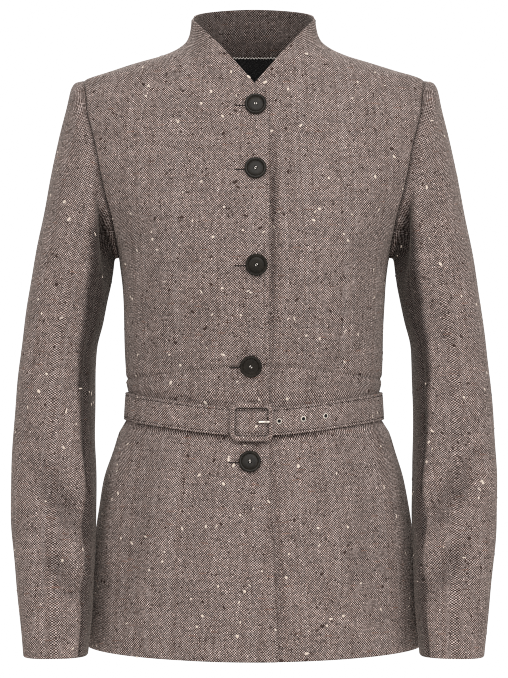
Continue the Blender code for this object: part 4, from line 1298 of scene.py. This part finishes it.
def button_seat(button):
    angle = angle_at_x(button.x, button.height)
    normal = torso_normal(angle, button.height)
    seat = torso(angle, button.height) + normal * (LAP_LIFT + LAYER_GAP)
    level = unit(np.cross([0, 0, 1], normal))
    up = np.cross(normal, level)
    cos, sin = math.cos(math.radians(button.turn)), math.sin(math.radians(button.turn))
    return seat, level * cos + up * sin, up * cos - level * sin, normal


blank_points = np.empty(3 * len(blank.vertices))
blank.vertices.foreach_get("co", blank_points)
for number, button in enumerate(BUTTONS, 1):
    seat, *ways = button_seat(button)
    mesh = blank.copy()
    mesh.vertices.foreach_set("co", (seat + blank_points.reshape(-1, 3) @ np.stack(ways)).reshape(-1))
    mesh.materials.clear()
    pieces[f"button_{number}"] = finished(f"button_{number}_horn", mesh, [HORN], BUTTON_SHARP)
bpy.data.meshes.remove(blank)
print("buttons:", len(BUTTONS))

# %% [markdown]
# ## Stitches by Geometry Nodes
# Stitches repeat, so one node tree makes them all. Its input is a mesh of loose edges, one for each
# stitch. The tree puts a slim thread on each edge, as long as the edge and turned along it, then
# makes the copies real and gives them their thread. Stitches could be modelled by hand, but a tree
# with named inputs lets a learner change the thread in one place.

# %% Helpers for geometry trees
details = {}


def new_tree(name, **inputs):
    """A tree for geometry with named inputs, and the sockets that give them."""
    tree = bpy.data.node_groups.new(name, "GeometryNodeTree")
    for socket, kind in {"Geometry": "Geometry", **inputs}.items():
        socket_type = "NodeSocket" + kind
        tree.interface.new_socket(socket.replace("_", " "), in_out="INPUT", socket_type=socket_type)
    tree.interface.new_socket("Geometry", in_out="OUTPUT", socket_type="NodeSocketGeometry")
    return tree, node(tree, "NodeGroupInput").outputs


def end_tree(tree, material, **copies):
    """Ends a tree with a copy on each point, made real, smooth and of one material."""
    copied = node(tree, "GeometryNodeInstanceOnPoints", copies)
    real = node(tree, "GeometryNodeRealizeInstances", {"Geometry": copied})
    soft = node(tree, "GeometryNodeSetShadeSmooth", {"Geometry": real})
    dressed = node(tree, "GeometryNodeSetMaterial", {"Geometry": soft, "Material": material})
    node(tree, "NodeGroupOutput", {"Geometry": dressed})
    return tree


print("geometry trees so far:", len(bpy.data.node_groups))

# %% Stitch tree
THREAD_SIDES, THREAD_RINGS = 8, 6


def stitch_tree():
    tree, given = new_tree(
        "stitches_on_edges", Thread_thickness="Float", Length_share="Float", Thread="Material"
    )
    ends = node(tree, "GeometryNodeInputMeshEdgeVertices").outputs
    reach = node(tree, VECTOR, {0: ends["Position 2"], 1: ends["Position 1"]}, operation="SUBTRACT")
    keep = node(tree, "GeometryNodeCaptureAttribute", {"Geometry": given["Geometry"]}, domain="EDGE")
    keep.capture_items.new("VECTOR", "Reach")
    node(tree, keep, {"Reach": reach})
    spots = node(tree, "GeometryNodeMeshToPoints", {"Mesh": keep.outputs["Geometry"]}, mode="EDGES")
    size = {"Segments": THREAD_SIDES, "Rings": THREAD_RINGS, "Radius": 0.5}
    thread = node(tree, "GeometryNodeMeshUVSphere", size).outputs["Mesh"]
    reach = keep.outputs["Reach"]
    along = node(tree, "FunctionNodeAlignRotationToVector", {"Vector": reach}, axis="X")
    long = node(tree, VECTOR, {0: reach}, operation="LENGTH").outputs["Value"]
    long = node(tree, MATH, {0: long, 1: given["Length share"]}, operation="MULTIPLY")
    thick = given["Thread thickness"]
    scale = node(tree, "ShaderNodeCombineXYZ", {0: long, 1: thick, 2: thick})
    return end_tree(tree, given["Thread"], Points=spots, Instance=thread, Rotation=along, Scale=scale)


STITCHES = stitch_tree()
print("nodes in the stitch tree:", len(STITCHES.nodes))

# %% From a tree to a plain mesh
def made_real(name, mesh, tree, **values):
    """An object from a tree's result on a mesh, as a plain mesh with no modifier left."""
    piece = finished(name, mesh, [])
    modifier = piece.modifiers.new("tree", "NODES")
    modifier.node_group = tree
    for socket, value in values.items():
        modifier[tree.interface.items_tree[socket.replace("_", " ")].identifier] = value
    result = as_made(piece)
    piece.modifiers.clear()
    piece.data = result
    result.name = name
    bpy.data.meshes.remove(mesh)
    details[name] = piece


def stitched(name, edges, thickness, share, thread):
    """Stitches on pairs of points, of one thickness and thread."""
    edges = np.asarray(edges).reshape(-1, 3)
    mesh = bpy.data.meshes.new(name)
    mesh.from_pydata(edges.tolist(), np.arange(len(edges)).reshape(-1, 2).tolist(), [])
    made_real(name, mesh, STITCHES, Thread_thickness=thickness, Length_share=share, Thread=thread)


print("stitch faces:", THREAD_SIDES * THREAD_RINGS)

# %% [markdown]
# ## Where the stitches go
# The belt has a row along each edge. Each buttonhole is a dark slit whipped round with brown thread,
# and it reaches out from under its button towards the wearer's right. Two bars of pale thread hold
# each button. A bust dart on each front is sewn, and a line of sunk dark stitches draws it as painted
# shade along its seam. Inside the neck, a pale zigzag closes the foot of the collar facing on the
# lining.

# %% Belt stitches
BELT_STITCH, BELT_PITCH, BELT_SUNK = 0.0026, 0.0034, 0.0003
BELT_FIRST, BELT_LAST = math.radians(77), 0.012
starts = np.arange(run[np.searchsorted(-turn, BELT_FIRST)], run[-1] - BELT_LAST, BELT_PITCH)
belt_edges = []
for across_at in (STITCH_INSET - BELT_WIDTH / 2, BELT_WIDTH / 2 - STITCH_INSET):
    turns = [np.interp(starts + offset, run, turn) for offset in (0, BELT_STITCH)]
    ends = [strap_place(at, across_at, BELT_WALL - BELT_SUNK) for at in turns]
    belt_edges.append(np.stack(ends, axis=1))
print("stitches in a row of the belt:", len(starts))

# %% Buttonholes and button threads
SLIT_LENGTH, SLIT_HEIGHT, SLIT_PITCH, SLIT_STITCH = 0.0105, 0.0005, 0.0005, 0.0007
SLIT_DROP, SLIT_UNDER, NEAR_OUT, FAR_OUT = 0.001, 0.002, 0.0002, 0.0001
BAR_SPREAD, BAR_HEIGHT = 0.8, 0.0029


def on_front(x, height, out):
    """A point on the outside of a front, the right one where they overlap, on the creased cloth."""
    x, height, out = np.broadcast_arrays(x, height, out)
    angle = angle_at_x(x, height)
    normal = torso_normal(angle, height)
    lift = np.where(x < OVERLAP, lap_lift(-x), 0)
    base = torso(angle, height) + normal * lift[..., None]
    return base + normal * (out - crease_depth("body", base, normal))[..., None]


slit_edges, button_edges, slits = [], [], []
for button in BUTTONS:
    left = button.x - BUTTON_RADIUS - SLIT_LENGTH
    spots = np.arange(left, button.x - BUTTON_RADIUS + SLIT_UNDER, SLIT_PITCH)
    height = button.height - SLIT_DROP
    slits.append((spots, height))
    for rise in (-1, 1):
        near = on_front(spots, height + rise * SLIT_HEIGHT / 2, NEAR_OUT)
        far = on_front(spots, height + rise * SLIT_STITCH, FAR_OUT)
        slit_edges.append(np.stack([near, far], axis=1))
    seat, level, up, normal = button_seat(button)
    for y in (-HOLE_OFFSET * BAR_SPREAD, HOLE_OFFSET * BAR_SPREAD):
        bar = [seat + level * x + up * y + normal * BAR_HEIGHT for x in (-HOLE_OFFSET, HOLE_OFFSET)]
        button_edges.append(np.array(bar))
print("buttonholes:", len(slits), "and bars of thread:", len(button_edges))

# %% Darts and zigzag
DARTS = np.array([(-0.0950, -0.2977, -0.0919, -0.3457), (0.0961, -0.2768, 0.0846, -0.3457)])
DART_STITCHES, DART_SUNK = 24, 0.0001
ZIGZAG_PITCH, ZIGZAG_RISE, ZIGZAG_END, ZIGZAG_OUT = 0.0017, 0.0011, 0.004, 0.0002


def steps_of(line):
    return np.stack([line[:-1], line[1:]], axis=1)


# painted shade: dark thread sunk along each dart stands for the shade in its seam
dart_edges = []
for x0, z0, x1, z1 in DARTS:
    share = np.linspace(0, 1, DART_STITCHES + 1)
    dart = on_front(x0 + (x1 - x0) * share, z0 + (z1 - z0) * share, -DART_SUNK)
    dart_edges.append(steps_of(dart))

line = back_points - back_normals * (WALL + LAYER_GAP + FACING_WALL + ZIGZAG_OUT)
foot_line = line[foot, collar]
rise_line = unit(line[foot + 1, collar] - foot_line)
foot_run = run_along(foot_line)
spots = np.arange(ZIGZAG_END, foot_run[-1] - ZIGZAG_END, ZIGZAG_PITCH)
places, rises = (
    np.stack([np.interp(spots, foot_run, column) for column in row.T], axis=-1)
    for row in (foot_line, rise_line)
)
zigzag = places + rises * (np.where(np.arange(len(spots)) % 2, 1, -1)[:, None] * ZIGZAG_RISE)
print("stitches of a dart:", DART_STITCHES, "and of the zigzag:", len(zigzag) - 1)

# %% All threads
for name, edges, thickness, share, thread in (
    ("belt_stitches", np.concatenate(belt_edges), 0.0007, 1.1, DARK_THREAD),
    ("dart_seams_painted_shade", np.concatenate(dart_edges), 0.0005, 1.3, DARK_THREAD),
    ("buttonhole_stitches", np.concatenate(slit_edges), 0.0005, 1.1, DARK_THREAD),
    ("button_threads", np.array(button_edges), 0.0011, 1.0, PALE_THREAD),
    ("facing_zigzag", steps_of(zigzag), 0.0011, 1.15, PALE_THREAD),
):
    stitched(name, edges, thickness, share, thread)
faces = sum(len(piece.data.polygons) for piece in details.values())
print("stitches:", faces // (THREAD_SIDES * THREAD_RINGS))

# %% [markdown]
# ## Slits and eyelets
# The slit of each buttonhole and the holes in the belt are only dark at this size, so each is a thin
# patch of painted shadow sunk in its ring of thread or metal. The three eyelets are rolled nickel rings,
# drawn ring by ring from their profile.

# %% Slits
SLIT_RIM = ((-1, -0.0002), (-1, 0.00025), (1, 0.00025), (1, -0.0002))  # half heights up, and out


def detail(name, work, material, sharp=None):
    bmesh.ops.recalc_face_normals(work, faces=work.faces)
    details[name] = finished(name, mesh_of(name, work), [material], sharp)


def bridged(work, rows, ring):
    """Faces between each row of points and the next; a ring's rows close on themselves."""
    for one, two in rows:
        ahead = [line[1:] + line[:1] if ring else line[1:] for line in (one, two)]
        for corners in zip(one, ahead[0], ahead[1], two):
            work.faces.new(corners)


slit_shape = bmesh.new()
for spots, height in slits:
    rows = [on_front(spots, height + rise * SLIT_HEIGHT / 2, out) for rise, out in SLIT_RIM]
    strip = [[slit_shape.verts.new(point) for point in row] for row in rows]
    bridged(slit_shape, zip(strip, strip[1:] + strip[:1]), False)
    for end in (0, -1):
        slit_shape.faces.new([row[end] for row in strip])
detail("buttonhole_slits", slit_shape, SHADOW)
print("slits:", len(slits))

# %% Eyelets
EYELET_X = (0.0261, 0.0517, 0.0752)
EYELET_PROFILE = (
    (0.0018, 0.0), (0.0019, 0.0005), (0.0023, 0.0008), (0.0028, 0.0006), (0.0031, 0.0),
    (0.0024, -0.0004),
)
EYELET_SIDES, EYELET_SHARP = 32, 60
HOLE_PROFILE = ((0.0020, 0.0002), (0.0020, -0.0004))
LEFT_FRONT = np.linspace(0.05, 1.2, 400)
STEP_ALONG, STEP_UP = 0.01, 0.003


def circles(work, profile, seat, level, up):
    """Circles of points about a seat on the belt, with a radius and a height for each."""
    turn = np.linspace(0, 2 * math.pi, EYELET_SIDES, endpoint=False)[:, None]
    rim, normal = np.cos(turn) * level + np.sin(turn) * up, np.cross(level, up)
    rows = [seat + rim * radius + normal * out for radius, out in profile]
    return [[work.verts.new(point) for point in row] for row in rows]


ring_shape, hole_shape = bmesh.new(), bmesh.new()
belt_x = belt_place(LEFT_FRONT, 0, BELT_WALL)[:, 0]
for x in EYELET_X:
    at = np.interp(x, belt_x, LEFT_FRONT) - 2 * math.pi
    seat, ahead, above = (
        strap_place(at + on, up, BELT_WALL) for on, up in ((0, 0), (STEP_ALONG, 0), (0, STEP_UP))
    )
    ways = unit(ahead - seat), unit(above - seat)
    rings = circles(ring_shape, EYELET_PROFILE, seat, *ways)
    bridged(ring_shape, zip(rings, rings[1:] + rings[:1]), True)
    discs = circles(hole_shape, HOLE_PROFILE, seat, *ways)
    bridged(hole_shape, [discs], True)
    for disc in discs:
        hole_shape.faces.new(disc)
detail("belt_eyelets",ring_shape, WORN_NICKEL, EYELET_SHARP)
detail("belt_eyelet_holes", hole_shape, SHADOW, EYELET_SHARP)
print("eyelets:", len(EYELET_X))

# %% [markdown]
# ## Neps
# Neps are little knots of wool that stay pale, or take the dye dark, in the yarn. They lie all over the
# cloth at random and gather in drifts, so a second tree scatters them: points spread on the outside of
# every tweed piece from a fixed seed, with a small flattened knot on each, turned and sized by chance.

# %% Nep tree
NEP_DRIFTS, NEP_LEAST = 30.0, 0.15
NEP_SMALLEST, NEP_LARGEST = (0.0008, 0.0006, 0.0002), (0.0027, 0.0018, 0.0005)


def nep_tree():
    tree, given = new_tree("neps_on_cloth", Neps_a_square_metre="Float", Seed="Int", Wool="Material")
    drifts = node(tree, NOISE, {"Scale": NEP_DRIFTS, "Detail": 1.0})
    share = {"Value": drifts, "From Min": 0.42, "From Max": 0.68, "To Min": NEP_LEAST}
    counts = {0: given["Neps a square metre"], 1: node(tree, RANGE, share)}
    density = node(tree, MATH, counts, operation="MULTIPLY")
    cloth_in = {"Mesh": given["Geometry"], "Density": density, "Seed": given["Seed"]}
    spread = node(tree, "GeometryNodeDistributePointsOnFaces", cloth_in).outputs
    knot = node(tree, "GeometryNodeMeshIcoSphere", {"Radius": 1.0, "Subdivisions": 2})
    size, swing = (
        node(
            tree, "FunctionNodeRandomValue", {"Min": least, "Max": most, "Seed": given["Seed"]},
            data_type="FLOAT_VECTOR",
        )
        for least, most in ((NEP_SMALLEST, NEP_LARGEST), ((0, 0, 0), (0, 0, 2 * math.pi)))
    )
    spin = node(tree, "FunctionNodeEulerToRotation", {0: swing})
    turned = node(
        tree, "FunctionNodeRotateRotation", {"Rotation": spread["Rotation"], "Rotate By": spin},
        rotation_space="LOCAL",
    )
    knots = {"Points": spread["Points"], "Instance": knot.outputs["Mesh"]}
    return end_tree(tree, given["Wool"], **knots, Rotation=turned, Scale=size)


neps = nep_tree()
print("nodes in the nep tree:", len(neps.nodes))

# %% Neps on the cloth
NEPS = (("wool_neps", 1150.0, 7, NEP), ("dark_neps", 900.0, 23, DARK_NEP))
all_points, all_faces = zip(*outer_sheets)
firsts = np.cumsum([0] + [len(points) for points in all_points])
all_points = np.concatenate(all_points)
all_faces = np.concatenate([faces + first for faces, first in zip(all_faces, firsts)])
for name, density, seed, wool in NEPS:
    cloth_mesh = bpy.data.meshes.new("cloth_faces")
    cloth_mesh.from_pydata(all_points.tolist(), [], all_faces.tolist())
    made_real(name, cloth_mesh, neps, Neps_a_square_metre=density, Seed=seed, Wool=wool)
    print(name, "faces:", len(details[name].data.polygons))

# %% [markdown]
# ## Handing over
# Each piece stands for its node of the frame and rides on the one body there is.

# %% Pieces on the body
SLOTS = {f"button_{number}": "horn" for number in range(1, len(BUTTONS) + 1)}
SLOTS.update(back_lining="lining", buckle_prong="nickel")
for node_name, piece in pieces.items():
    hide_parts(node_name)
    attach(piece, "root")
    if piece.name in flat_sizes:
        width, length_up, area = flat_sizes[piece.name]
for name, piece in details.items():
    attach(piece, "root")
